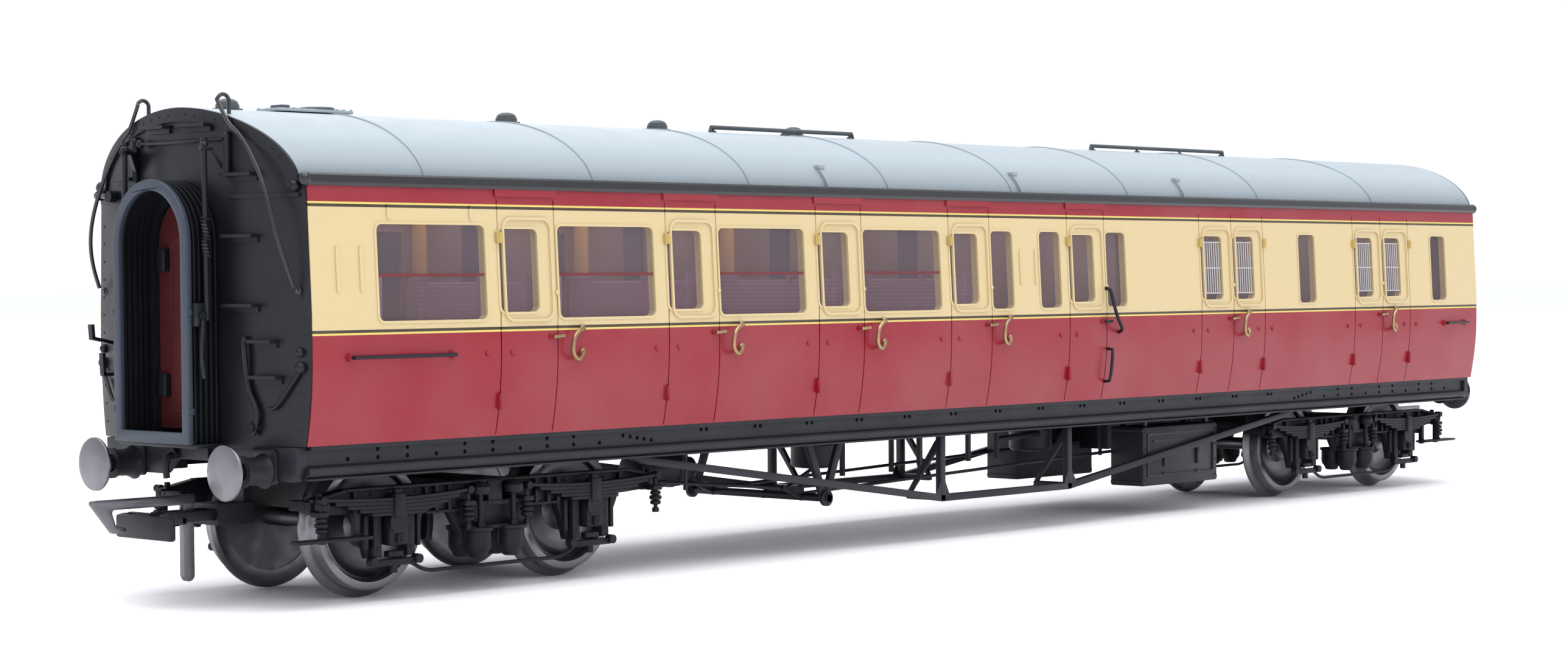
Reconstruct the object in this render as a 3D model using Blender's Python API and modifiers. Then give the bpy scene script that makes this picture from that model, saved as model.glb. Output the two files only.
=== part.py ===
"""OO scale (4 mm to the foot) bow-ended brake third corridor coach, as an assembly of separate parts.

X runs along the coach with the guard's end at +X, the compartment side faces -Y and +Z is up.
The origin is on the surface that the wheel flanges stand on, under the middle of the coach.
Every size below is in millimetres; mm() turns it into Blender's metres.
"""

import math

import bmesh
import bpy
from mathutils import Matrix, Vector

# ---- body ----
BODY_LENGTH = 230.2  # over the corners
END_BOW = 2.7  # how far each end stands out at its middle
BODY_WIDTH = 37.0  # over the waist
BODY_BOTTOM = 16.9
WAIST_LOW = 26.0  # the side turns in below this height
WAIST_HIGH = 30.0  # and leans in above this one
CANTRAIL = 43.05
TURN_UNDER = 1.1  # how far each side comes in at its foot
LEAN_IN = 0.7  # and at the cantrail
SIDE_WALL = 1.0
END_WALL = 1.2
FIT = 0.05  # between pieces that are clipped or glued together

# ---- roof ----
ROOF_INSET = 0.6  # the roof springs this far inside the cantrail
ROOF_SPRING = 43.1
ROOF_RISE = 8.2
ROOF_SQUARENESS = 1.85  # 2 would be an ellipse, and less is flatter at the shoulders
ROOF_WALL = 0.9
GUTTER_OUT = 1.3
GUTTER_DEPTH = 0.8
VENT_RADIUS = 1.25
VENT_HEIGHT = 1.5
VENTS, VENT_PITCH, FIRST_VENT = 3, 24.2, 42.2  # the first is that far from the end
END_VENT = 3.5
TANK_COVER = (10.2, 4.2, 0.5)
TANK_COVER_INSET = 13.6
FILLER_RADIUS, FILLER_HEIGHT = 2.0, 0.5
PIPE_RADIUS = 0.3
PIPE_RUNS = ((-41.8, -15.5), (35.3, 68.5))
PIPE_LIFT = 0.9
PIPE_Y = -2.1

# ---- windows and doors ----
WINDOW_LOW, WINDOW_HIGH = 29.4, 39.0
DOORLIGHT_LOW, DOORLIGHT_HIGH = 30.2, 38.6
BAY_WIDTH = {"window": 14.0, "door": 8.1, "small": 3.9, "luggage": 7.9}
LIGHT_WIDTH = {"window": 14.0, "door": 5.0, "small": 3.9, "luggage": 4.7}
LIGHT_SHIFT = {"window": 0.0, "door": -1.1, "small": 0.0, "luggage": -1.0}
# Each bay and the panel left of it, from the -X end. The panels share out what the bays leave of the length.
BRAKE_BAYS = [
    ("small", 6.1), ("door", 1.9), ("small", 0.5), ("luggage", 17.75), ("luggage", 0.0),
    ("small", 9.45), ("luggage", 10.8), ("luggage", 0.0), ("small", 6.9),
]
COMPARTMENT_BAYS = [
    ("window", 8.8), ("door", 2.0), ("window", 0.7), ("door", 2.2), ("window", 0.6),
    ("door", 2.4), ("window", 0.5), ("door", 2.0), ("small", 0.5),
]
CORRIDOR_BAYS = [
    ("window", 8.8), ("door", 2.0), ("window", 0.7), ("window", 3.6), ("window", 3.6),
    ("door", 1.4), ("window", 0.6), ("small", 1.2),
]
LAST_PANEL = 9.5
GLAZING_THICKNESS = 0.5

# ---- gangways ----
GANGWAY_WIDTH = 13.0
GANGWAY_HEIGHT = 26.9
GANGWAY_BOTTOM = 17.0
GANGWAY_REACH = 3.8  # from the middle of the end to the face plate's front
GANGWAY_OPENING = 9.8
GANGWAY_SILL = 1.2
FACEPLATE_THICKNESS = 0.7
BELLOWS_FOLDS = 3
FOLD_DEPTH = 0.45
DOOR_THICKNESS = 0.6
DOOR_HEIGHT = 22.5
DOOR_WIDTH = 8.6

# ---- underframe ----
FLOOR_THICKNESS = 1.0
FLOOR_BOTTOM = 16.5
SOLEBAR_FOOT = 13.4
SOLEBAR_THICKNESS = 0.9
SOLEBAR_INSET = 1.2  # behind the foot of the body side
FOOTBOARD_OUT = 1.1
FOOTBOARD_THICKNESS = 0.8
FOOTBOARD_HEIGHT = 13.9
HEADSTOCK_THICKNESS = 1.2
HEADSTOCK_OUT = 0.7  # past the body's corners
WEIGHT_SIZE = (150.0, 18.0, 1.2)
INTERIOR_FLOOR = 0.7
PARTITION = 0.7
CORRIDOR_WALL_Y = 5.6
SEAT_DEPTH, SEAT_HEIGHT, SEAT_BACK = 5.5, 5.0, 13.5

# ---- trussing and the equipment under the floor ----
TRUSS_Y = 14.6
TRUSS_BAR = 0.9
TRUSS_FOOT = 5.0
TRUSS_POST_X = 13.2
TRUSS_END_GAP = 21.5  # from the bogie's centre to where the truss meets the solebar
BATTERY_BOX = (18.0, 5.6, 8.2)
BATTERY_X = 40.5
CYLINDER_RADIUS, CYLINDER_HEIGHT = 3.0, 6.2
CYLINDER_X = (-21.0, 24.0)
DYNAMO_RADIUS, DYNAMO_LENGTH, DYNAMO_X = 2.3, 9.0, -47.0
BRAKE_SHAFT_X, BRAKE_SHAFT_Z, BRAKE_SHAFT_RADIUS = -31.5, 6.4, 0.55
HANGER_Y, HANGER_SPREAD = 11.2, 4.0

# ---- buffers ----
BUFFER_CENTRES = 22.8
BUFFER_Z = 14.35
BUFFER_HEAD_RADIUS = 2.85
BUFFER_HEAD_THICKNESS = 0.5
BUFFER_SHANK_RADIUS = 0.8
BUFFER_BORE_GAP = 0.1
BUFFER_HOUSING_RADIUS = 1.55
BUFFER_HOUSING_LENGTH = 3.1
BUFFER_REACH = 5.4  # from the headstock to the face

# ---- bogies and wheels ----
BOGIE_INSET = 28.0  # from the body's corner to the bogie's centre
WHEELBASE = 28.0
TREAD_RADIUS = 7.05
FLANGE_DEPTH = 0.8
BACK_TO_BACK = 14.6
WHEEL_WIDTH = 2.55
HUB_BORE_GAP = 0.05
AXLE_RADIUS = 1.0
AXLE_LENGTH = 25.6
PINPOINT_RADIUS, PINPOINT_LENGTH = 0.55, 0.9
BEARING_GAP = 0.2
BOGIE_OVERHANG = 10.4  # of the side frame past each axle
SIDE_FRAME_THICKNESS = 1.6
SIDE_FRAME_TOP = 12.0
SIDE_FRAME_END = 11.2
END_BEAM_INNER = 9.4
BOLSTER_LENGTH, BOLSTER_TOP = 7.0, 13.2
PIVOT_RADIUS = 1.2
PIVOT_GAP = 0.15
PIVOT_BOSS_RADIUS = 3.0
SPRING_HALF, SPRING_LOW, SPRING_HIGH = 9.8, 9.4, 11.4
STEP_Z = 6.9

# ---- couplings ----
SLIDER_X = 10.0  # inboard of the headstock's face
SLIDER_SIZE = (3.2, 3.0, 1.6)
SLIDER_TRAVEL = 2.0
DRAWBAR_WIDTH, DRAWBAR_THICKNESS = 3.4, 0.6
DRAWBAR_TOP = 13.0
POCKET_SIZE = (4.6, 4.4, 2.2)
POCKET_Z = 9.3
POCKET_BACK = 5.4  # inboard of the headstock's face
HOOK_PIVOT_X = 1.5  # outboard of it
HOOK_SLOT = 1.5
POCKET_WALL = 0.5
COUPLING_WIDTH = 9.6
BUMPER_REACH = 7.0  # from the headstock's face to the bumper's front
BUMPER_HEIGHT = 2.4
HOOK_THICKNESS = 0.8
HOOK_REACH = 13.1
DROPPER_FOOT = 2.5

# ---- end handrails ----
RAIL_RADIUS = 0.25
RAIL_START = 7.0  # from the middle of the end
RAIL_SPREAD, RAIL_DROP = 9.9, 17.3
RAIL_LOOP = 1.95

HALF = BODY_LENGTH / 2
HALF_WIDTH = BODY_WIDTH / 2
BOGIE_X = HALF - BOGIE_INSET
FLANGE_RADIUS = TREAD_RADIUS + FLANGE_DEPTH
HEADSTOCK_FACE = HALF + HEADSTOCK_OUT
FLOOR_TOP = FLOOR_BOTTOM + FLOOR_THICKNESS
COACH = "corridor_coach"
ROUND = 24
STEPS_SMALL = 12

BLACK = ("moulded_black", (0.018, 0.02, 0.024), 0.45, 0.0)
CRIMSON = ("crimson_and_cream_body", (0.42, 0.03, 0.05), 0.35, 0.0)
GREY = ("roof_grey", (0.30, 0.34, 0.36), 0.5, 0.0)
STEEL = ("blackened_steel", (0.16, 0.15, 0.14), 0.35, 0.9)
BRIGHT = ("bright_steel", (0.6, 0.58, 0.56), 0.3, 1.0)
GLASS = ("clear_glazing", (0.5, 0.45, 0.45), 0.08, 0.0)
BROWN = ("interior_brown", (0.2, 0.09, 0.05), 0.5, 0.0)
DOOR_RED = ("door_brown", (0.16, 0.03, 0.03), 0.5, 0.0)


def mm(value):
    """Millimetres as metres."""
    return value * 0.001


def place(x, y, z):
    """A point in millimetres as a vector in metres."""
    return Vector((mm(x), mm(y), mm(z)))


def clear_scene():
    for obj in list(bpy.data.objects):
        bpy.data.objects.remove(obj, do_unlink=True)


def collection_of(name, helper=False):
    found = bpy.data.collections.get(name)
    if not found:
        found = bpy.data.collections.new(name)
        bpy.context.scene.collection.children.link(found)
        found.hide_render = helper
    return found


def material_of(finish):
    name, colour, roughness, metallic = finish
    found = bpy.data.materials.get(name)
    if not found:
        found = bpy.data.materials.new(name)
        found.use_nodes = True
        shader = found.node_tree.nodes["Principled BSDF"]
        shader.inputs["Base Color"].default_value = (*colour, 1)
        shader.inputs["Roughness"].default_value = roughness
        shader.inputs["Metallic"].default_value = metallic
    return found


def new_object(name, data):
    obj = bpy.data.objects.new(name, data)
    bpy.context.scene.collection.objects.link(obj)
    return obj


def block(low, high, name="block"):
    """A box between two corners, in millimetres."""
    shape = bmesh.new()
    bmesh.ops.create_cube(shape, size=1)
    size = [mm(b - a) for a, b in zip(low, high)]
    middle = [mm(a + b) / 2 for a, b in zip(low, high)]
    bmesh.ops.scale(shape, vec=size, verts=shape.verts)
    bmesh.ops.translate(shape, vec=middle, verts=shape.verts)
    mesh = bpy.data.meshes.new(name)
    shape.to_mesh(mesh)
    shape.free()
    return new_object(name, mesh)


def rod(start, end, radius, steps=STEPS_SMALL, name="rod"):
    """A straight cylinder from one point to another, in millimetres."""
    a, b = place(*start), place(*end)
    along = b - a
    turn = Vector((0, 0, 1)).rotation_difference(along).to_matrix().to_4x4()
    shape = bmesh.new()
    bmesh.ops.create_cone(
        shape, cap_ends=True, segments=steps, radius1=mm(radius), radius2=mm(radius),
        depth=along.length, matrix=Matrix.Translation((a + b) / 2) @ turn,
    )
    mesh = bpy.data.meshes.new(name)
    shape.to_mesh(mesh)
    shape.free()
    return new_object(name, mesh)


def flat_mesh(curve_object):
    """Turns a curve object into a mesh object with its caps welded on."""
    graph = bpy.context.evaluated_depsgraph_get()
    mesh = bpy.data.meshes.new_from_object(curve_object.evaluated_get(graph))
    matrix = curve_object.matrix_world.copy()
    name = curve_object.name
    bpy.data.objects.remove(curve_object, do_unlink=True)
    shape = bmesh.new()
    shape.from_mesh(mesh)
    bmesh.ops.remove_doubles(shape, verts=shape.verts, dist=1e-6)
    bmesh.ops.transform(shape, matrix=matrix, verts=shape.verts)
    bmesh.ops.recalc_face_normals(shape, faces=shape.faces)
    shape.to_mesh(mesh)
    shape.free()
    return new_object(name, mesh)


PLANES = {
    # The outline's two directions and the extrusion, as columns of a rotation.
    "xy": Matrix(((1, 0, 0), (0, 1, 0), (0, 0, 1))),
    "xz": Matrix(((1, 0, 0), (0, 0, -1), (0, 1, 0))),
    "yz": Matrix(((0, 0, 1), (1, 0, 0), (0, 1, 0))),
}


def plate(outlines, plane, low, high, name="plate"):
    """A flat plate: closed outlines in a plane, later ones as holes, filled from low to high across it."""
    curve = bpy.data.curves.new(name, "CURVE")
    curve.dimensions = "2D"
    curve.fill_mode = "BOTH"
    curve.extrude = mm(high - low) / 2
    for points in outlines:
        spline = curve.splines.new("POLY")
        spline.points.add(len(points) - 1)
        for point, (u, v) in zip(spline.points, points):
            point.co = (mm(u), mm(v), 0, 1)
        spline.use_cyclic_u = True
    obj = new_object(name, curve)
    middle = mm(low + high) / 2
    axis = {"xy": Vector((0, 0, 1)), "xz": Vector((0, 1, 0)), "yz": Vector((1, 0, 0))}[plane]
    obj.matrix_world = Matrix.Translation(axis * middle) @ PLANES[plane].to_4x4()
    bpy.context.view_layer.update()
    return flat_mesh(obj)


def turned(profile, steps=ROUND, name="turned"):
    """A solid of revolution about Z from (radius, height) points that run down its outer side."""
    mesh = bpy.data.meshes.new(name)
    points = [(mm(r), 0, mm(z)) for r, z in profile]
    closed = profile[0][0] > 0
    edges = [(i, i + 1) for i in range(len(points) - 1)] + ([(len(points) - 1, 0)] if closed else [])
    mesh.from_pydata(points, edges, [])
    obj = new_object(name, mesh)
    screw = obj.modifiers.new("turn", "SCREW")
    screw.steps = screw.render_steps = steps
    screw.use_merge_vertices = True
    screw.merge_threshold = 1e-6
    graph = bpy.context.evaluated_depsgraph_get()
    made = bpy.data.meshes.new_from_object(obj.evaluated_get(graph))
    obj.modifiers.clear()
    obj.data = made
    return obj


def moved(obj, matrix):
    """Bakes a matrix into an object's own mesh."""
    obj.data.transform(matrix)
    if matrix.determinant() < 0:
        obj.data.flip_normals()
    return obj


def along_y(obj, sign=1):
    """Lays a shape turned about Z along Y, its top towards sign times Y."""
    return moved(obj, Matrix.Rotation(-sign * math.pi / 2, 4, "X"))


def along_x(obj, sign=1):
    return moved(obj, Matrix.Rotation(sign * math.pi / 2, 4, "Y"))


def combined(base, others, operation="UNION"):
    """Base with the others joined to it, cut from it or kept in common, as one mesh."""
    helpers = collection_of("cutters", helper=True)
    batch = bpy.data.collections.new("batch")
    helpers.children.link(batch)
    for other in others:
        batch.objects.link(other)
    cut = base.modifiers.new("cut", "BOOLEAN")
    cut.operation = operation
    cut.operand_type = "COLLECTION"
    cut.collection = batch
    cut.solver = "EXACT"
    cut.use_self = operation != "INTERSECT" and len(others) > 1
    bpy.context.view_layer.update()
    graph = bpy.context.evaluated_depsgraph_get()
    made = bpy.data.meshes.new_from_object(base.evaluated_get(graph))
    base.modifiers.clear()
    base.data = made
    for other in others:
        bpy.data.objects.remove(other, do_unlink=True)
    bpy.data.collections.remove(batch)
    return base


def finished(obj, name, finish, smooth=False):
    """Names a part, puts it in the coach's collection and gives it its finish."""
    obj.name = obj.data.name = name
    for holder in list(obj.users_collection):
        holder.objects.unlink(obj)
    collection_of(COACH).objects.link(obj)
    obj.data.materials.clear()
    obj.data.materials.append(material_of(finish))
    if smooth:
        obj.data.shade_smooth()
        obj.data.set_sharp_from_angle(angle=math.radians(35))
    return obj


def side_y(z):
    """Half the body's width outside, at a height."""
    if z < WAIST_LOW:
        return HALF_WIDTH - TURN_UNDER * ((WAIST_LOW - z) / (WAIST_LOW - BODY_BOTTOM)) ** 2
    if z < WAIST_HIGH:
        return HALF_WIDTH
    return HALF_WIDTH - LEAN_IN * (z - WAIST_HIGH) / (CANTRAIL - WAIST_HIGH)


def roof_arc(inset, steps):
    """The roof's outside from +Y over to -Y, inset inwards."""
    half = side_y(CANTRAIL) - ROOF_INSET - inset
    rise = ROOF_RISE - inset
    power = 2 / ROOF_SQUARENESS
    points = []
    for i in range(steps + 1):
        turn = math.pi * i / steps
        y = math.copysign(abs(math.cos(turn)) ** power, math.cos(turn)) * half
        points.append((y, ROOF_SPRING + rise * max(0.0, math.sin(turn)) ** power))
    return points


def roof_z(y):
    """The height of the roof's outside, across the coach."""
    half = side_y(CANTRAIL) - ROOF_INSET
    across = abs(y) / half
    return ROOF_SPRING + ROOF_RISE * (1 - across**ROOF_SQUARENESS) ** (1 / ROOF_SQUARENESS)


def section_outline():
    """The whole end, from the foot of the sides over the roof."""
    heights = [BODY_BOTTOM, (BODY_BOTTOM + WAIST_LOW) / 2, WAIST_LOW, WAIST_HIGH, CANTRAIL]
    right = [(side_y(z), z) for z in heights]
    left = [(-y, z) for y, z in reversed(right)]
    return right + roof_arc(0, 18) + left


def plan_outline(inset, clearance=0.0):
    """The body's plan with its bowed ends, inset along the coach."""
    wide = HALF_WIDTH + 2
    steps = 10
    ends = []
    for i in range(steps + 1):
        y = wide * (2 * i / steps - 1)
        ends.append((HALF - inset - clearance + END_BOW * (1 - (y / HALF_WIDTH) ** 2), y))
    return ends + [(-x, y) for x, y in reversed(ends)]


def end_x(y):
    """Where the end's outer face is, across the coach."""
    return HALF + END_BOW * (1 - (y / HALF_WIDTH) ** 2)


def bays(corridor):
    """(kind, middle, width) of each bay of one side, the panels stretched to fill the length."""
    layout = (CORRIDOR_BAYS if corridor else COMPARTMENT_BAYS) + BRAKE_BAYS
    panels = sum(gap for _, gap in layout) + LAST_PANEL
    share = (BODY_LENGTH - sum(BAY_WIDTH[kind] for kind, _ in layout)) / panels
    x, found = -HALF, []
    for kind, gap in layout:
        width = BAY_WIDTH[kind]
        x += gap * share
        found.append((kind, x + width / 2, width))
        x += width
    return found


def light_heights(kind):
    return (DOORLIGHT_LOW, DOORLIGHT_HIGH) if kind in ("door", "luggage") else (WINDOW_LOW, WINDOW_HIGH)


def arch(width, height, bottom, steps=8):
    """An upright outline with a flat foot and a round top, in (y, z)."""
    radius = width / 2
    spring = bottom + height - radius
    top = [math.pi * i / steps for i in range(steps + 1)]
    crown = [(radius * math.cos(t), spring + radius * math.sin(t)) for t in top]
    return [(radius, bottom)] + crown + [(-radius, bottom)]


def door_outline(grow=0.0):
    return arch(DOOR_WIDTH + 2 * grow, DOOR_HEIGHT + 2 * grow, GANGWAY_BOTTOM + GANGWAY_SILL - grow)


# ---- body ----
def make_body_shell():
    reach = HALF + END_BOW + 5
    shell = plate([section_outline()], "yz", -reach, reach, "shell")
    low, high = BODY_BOTTOM - 3, ROOF_SPRING + ROOF_RISE + 3
    combined(shell, [plate([plan_outline(0)], "xy", low, high)], "INTERSECT")
    inner = [(side_y(z) - SIDE_WALL, z) for z in (BODY_BOTTOM, WAIST_LOW, WAIST_HIGH, CANTRAIL - FIT)]
    inner[0] = (inner[0][0], low)
    wide = [(HALF_WIDTH + 3, CANTRAIL), (HALF_WIDTH + 3, high + 1)]
    right = inner + wide
    hollow = plate([right + [(-y, z) for y, z in reversed(right)]], "yz", -reach, reach)
    combined(hollow, [plate([plan_outline(END_WALL)], "xy", low - 1, high + 2)], "INTERSECT")
    cutters = [hollow]
    for corridor in (False, True):
        side = 1 if corridor else -1
        for kind, x, _ in bays(corridor):
            foot, head = light_heights(kind)
            half = LIGHT_WIDTH[kind] / 2
            x += LIGHT_SHIFT[kind]
            near, far = sorted((side * (HALF_WIDTH - 3.5), side * (HALF_WIDTH + 2)))
            cutters.append(block((x - half, near, foot), (x + half, far, head)))
    for end in (-1, 1):
        near, far = sorted((end * (HALF - 3), end * (HALF + END_BOW + 3)))
        cutters.append(plate([door_outline()], "yz", near, far))
    for cutter in cutters:
        combined(shell, [cutter], "DIFFERENCE")
    finished(shell, "body_shell", CRIMSON)


def make_roof():
    outer, inner = roof_arc(0, 18), roof_arc(ROOF_WALL, 18)
    cantrail_y = side_y(CANTRAIL)
    foot, top = CANTRAIL + FIT, CANTRAIL + FIT + GUTTER_DEPTH
    gutter = [(cantrail_y + GUTTER_OUT - ROOF_INSET, foot), (cantrail_y + GUTTER_OUT - ROOF_INSET, top)]
    above = [(y, z) for y, z in outer if z > top + 0.1]
    climb = (top - ROOF_SPRING) / ROOF_RISE
    meet = (cantrail_y - ROOF_INSET) * (1 - climb**ROOF_SQUARENESS) ** (1 / ROOF_SQUARENESS)
    lip = inner[0][0]
    right = [(lip, foot)] + gutter + [(meet, top)]
    left = [(-y, z) for y, z in reversed(right)]
    outline = right + above + left + [(y, z) for y, z in reversed(inner[1:-1])]
    reach = HALF + END_BOW + 5
    roof = plate([outline], "yz", -reach, reach, "roof")
    high = ROOF_SPRING + ROOF_RISE + 3
    combined(roof, [plate([plan_outline(END_WALL, FIT)], "xy", CANTRAIL - 2, high)], "INTERSECT")
    finished(roof, "roof", GREY, smooth=True)


def vent_places():
    """One ventilator over the end lavatory, and a row along the ridge."""
    return [END_VENT - HALF] + [FIRST_VENT - HALF + VENT_PITCH * i for i in range(VENTS)]


def make_roof_vents():
    ridge = ROOF_SPRING + ROOF_RISE
    for number, x in enumerate(vent_places(), 1):
        profile = [(0, VENT_HEIGHT - 0.35), (VENT_RADIUS * 0.7, VENT_HEIGHT - 0.5), (VENT_RADIUS, 0.55),
                   (VENT_RADIUS, 0.35), (VENT_RADIUS * 0.6, 0.0), (0, 0.0)]
        vent = turned(profile, STEPS_SMALL)
        moved(vent, Matrix.Translation(place(x, 0, ridge + FIT)))
        finished(vent, f"roof_vent_{number}", BLACK)


def make_tank_cover():
    """The plate over the lavatory's water tank, with its filler cap."""
    length, width, thick = TANK_COVER
    x = TANK_COVER_INSET - HALF
    low = ROOF_SPRING + ROOF_RISE + FIT
    cover = block((x - length / 2, -width / 2, low), (x + length / 2, width / 2, low + thick))
    cap = rod((x, 0, low + thick / 2), (x, 0, low + thick + FILLER_HEIGHT), FILLER_RADIUS, 16)
    combined(cover, [cap])
    finished(cover, "tank_cover", GREY)


def make_roof_pipes():
    """Pipes that run beside the ventilators and turn down to the roof at both ends."""
    high = roof_z(PIPE_Y)
    for number, (a, b) in enumerate(PIPE_RUNS, 1):
        curve = bpy.data.curves.new("pipe", "CURVE")
        curve.dimensions = "3D"
        curve.bevel_depth = mm(PIPE_RADIUS)
        curve.bevel_resolution = 1
        curve.use_fill_caps = True
        lift = high + PIPE_LIFT - PIPE_RADIUS
        bend = PIPE_LIFT - PIPE_RADIUS
        foot = high + 2 * FIT
        points = [(a, foot), (a, lift - bend / 3), (a + bend / 3, lift),
                  (b - bend / 3, lift), (b, lift - bend / 3), (b, foot)]
        spline = curve.splines.new("POLY")
        spline.points.add(len(points) - 1)
        for point, (x, z) in zip(spline.points, points):
            point.co = (*place(x, PIPE_Y, z), 1)
        finished(new_object("pipe", curve), f"roof_pipe_{number}", BLACK)


def make_glazing():
    """A clear strip behind the windows of each side."""
    margin = 0.8
    inner = side_y(WINDOW_HIGH + margin) - SIDE_WALL - FIT
    reach = HALF - END_WALL - 1
    for side, name in ((-1, "glazing_compartment_side"), (1, "glazing_corridor_side")):
        near, far = sorted((side * (inner - GLAZING_THICKNESS), side * inner))
        strip = block((-reach, near, WINDOW_LOW - margin), (reach, far, WINDOW_HIGH + margin))
        finished(strip, name, GLASS)


# ---- inside ----
def compartment_walls():
    """Cross partitions, one between each compartment's door and the next window, then the guard's."""
    side = bays(False)
    edges = [x - width / 2 for kind, x, width in side if kind == "window"]
    walls = [edges[0] - 1.5] + [edge - 0.7 for edge in edges[1:]]
    doors = [(x, width) for kind, x, width in side if kind == "door"]
    last_door, guard = doors[-2], doors[-1]
    walls.append(last_door[0] + last_door[1] / 2 + 0.4)
    walls.append(guard[0] - guard[1] / 2 - 0.6)
    return walls


def make_interior():
    floor = FLOOR_TOP + FIT + WEIGHT_SIZE[2] + FIT
    half = side_y(BODY_BOTTOM) - SIDE_WALL - 0.4
    reach = HALF - END_WALL - 0.6
    glass = side_y(WINDOW_HIGH + 0.8) - SIDE_WALL - FIT - GLAZING_THICKNESS
    seat_edge = glass - 0.3
    top = WINDOW_HIGH + 1.6
    inside = block((-reach, -half, floor), (reach, half, floor + INTERIOR_FLOOR), "interior")
    base = floor + INTERIOR_FLOOR - 0.2
    walls = compartment_walls()
    parts = [block((walls[0], CORRIDOR_WALL_Y, base), (walls[-2] + PARTITION, CORRIDOR_WALL_Y + PARTITION, top))]
    inner_edge = CORRIDOR_WALL_Y + PARTITION / 2
    for number, x in enumerate(walls):
        parts.append(block((x, -seat_edge, base), (x + PARTITION, inner_edge, top)))
        seats = []
        if number < len(walls) - 2:
            seats.append((x + PARTITION - 0.1, 1))
        if 0 < number < len(walls) - 1:
            seats.append((x + 0.1, -1))
        for back, way in seats:
            a, b = sorted((back, back + way * SEAT_DEPTH))
            parts.append(block((a, -seat_edge + 0.3, base), (b, inner_edge, base + SEAT_HEIGHT)))
            a, b = sorted((back, back + way * 1.6))
            parts.append(block((a, -seat_edge + 0.3, base), (b, inner_edge, base + SEAT_BACK)))
    combined(inside, parts)
    finished(inside, "interior_moulding", BROWN)


def make_weight():
    length, width, thick = WEIGHT_SIZE
    low = FLOOR_TOP + FIT
    finished(block((-length / 2, -width / 2, low), (length / 2, width / 2, low + thick)), "ballast_weight", STEEL)


# ---- gangways ----
def gangway_ring(width, low, high):
    grow = (width - GANGWAY_WIDTH) / 2
    outer = arch(width, GANGWAY_HEIGHT + 2 * grow, GANGWAY_BOTTOM - grow)
    opening_height = GANGWAY_HEIGHT - GANGWAY_SILL - (GANGWAY_WIDTH - GANGWAY_OPENING) / 2
    hole = arch(GANGWAY_OPENING, opening_height, GANGWAY_BOTTOM + GANGWAY_SILL)
    return plate([outer, hole], "yz", low, high)


def make_gangways():
    wall = HALF + END_BOW + FIT
    front = HALF + END_BOW + GANGWAY_REACH
    back = front - FACEPLATE_THICKNESS
    step = (back - FIT - wall) / (2 * BELLOWS_FOLDS - 1)
    for end, letter in ((-1, "a"), (1, "b")):
        rings = []
        for i in range(2 * BELLOWS_FOLDS - 1):
            width = GANGWAY_WIDTH - 2 * FOLD_DEPTH * (i % 2) - 0.2
            lap = 0.1 * (i % 2)
            low, high = wall + step * i - lap, wall + step * (i + 1) + lap
            rings.append(gangway_ring(width, low, high))
        bellows = combined(rings[0], rings[1:])
        faceplate = gangway_ring(GANGWAY_WIDTH, back, front)
        door_back = HALF + END_BOW - END_WALL + 0.1
        door = plate([door_outline(-FIT)], "yz", door_back - 0.3, door_back - 0.3 + DOOR_THICKNESS)
        for obj, name, finish in (
            (bellows, "gangway_bellows", BLACK),
            (faceplate, "gangway_faceplate", BLACK),
            (door, "gangway_door", DOOR_RED),
        ):
            moved(obj, Matrix.Scale(end, 4, (1, 0, 0)))
            finished(obj, f"{name}_{letter}", finish)


# ---- underframe ----
def make_underframe():
    inner = side_y(BODY_BOTTOM) - SIDE_WALL - FIT
    reach = HALF - END_WALL - 0.3
    floor = block((-reach, -inner, FLOOR_BOTTOM), (reach, inner, FLOOR_TOP), "underframe")
    face = side_y(BODY_BOTTOM) - SOLEBAR_INSET
    under_body = BODY_BOTTOM - FIT
    parts, holes = [], []
    for side in (-1, 1):
        near, far = sorted((side * (face - SOLEBAR_THICKNESS), side * face))
        parts.append(block((-HALF + 0.5, near, SOLEBAR_FOOT), (HALF - 0.5, far, under_body)))
        near, far = sorted((side * (face - 0.3), side * (face + FOOTBOARD_OUT)))
        low = FOOTBOARD_HEIGHT
        parts.append(block((-HALF + 1.5, near, low), (HALF - 1.5, far, low + FOOTBOARD_THICKNESS)))
    for end in (-1, 1):
        near, far = sorted((end * (HEADSTOCK_FACE - HEADSTOCK_THICKNESS), end * HEADSTOCK_FACE))
        headstock_y = face - 0.4
        parts.append(block((near, -headstock_y, SOLEBAR_FOOT), (far, headstock_y, under_body)))
        near, far = sorted((end * (reach - 0.5), end * (HEADSTOCK_FACE - 0.4)))
        parts.append(block((near, -6.0, FLOOR_BOTTOM - 1.2), (far, 6.0, under_body)))
        x = end * BOGIE_X
        parts.append(rod((x, 0, BOLSTER_TOP + 0.25), (x, 0, FLOOR_BOTTOM + 0.4), PIVOT_BOSS_RADIUS, 16))
        pin = PIVOT_RADIUS + PIVOT_GAP
        holes.append(rod((x, 0, BOLSTER_TOP - 2), (x, 0, FLOOR_BOTTOM - 0.2), pin, STEPS_SMALL))
        for side in (-1, 1):
            y = side * BUFFER_CENTRES / 2
            a = end * (HEADSTOCK_FACE - 0.5)
            b = end * (HEADSTOCK_FACE + BUFFER_HOUSING_LENGTH)
            parts.append(rod((a, y, BUFFER_Z), (b, y, BUFFER_Z), BUFFER_HOUSING_RADIUS, 16))
            bore = BUFFER_SHANK_RADIUS + BUFFER_BORE_GAP
            start = end * (HEADSTOCK_FACE - HEADSTOCK_THICKNESS - 1)
            stop = end * (HEADSTOCK_FACE + BUFFER_HOUSING_LENGTH + 1)
            holes.append(rod((start, y, BUFFER_Z), (stop, y, BUFFER_Z), bore, STEPS_SMALL))
    combined(floor, parts)
    parts = slider_housings()
    combined(floor, parts)
    combined(floor, holes, "DIFFERENCE")
    finished(floor, "underframe", BLACK)


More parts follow.
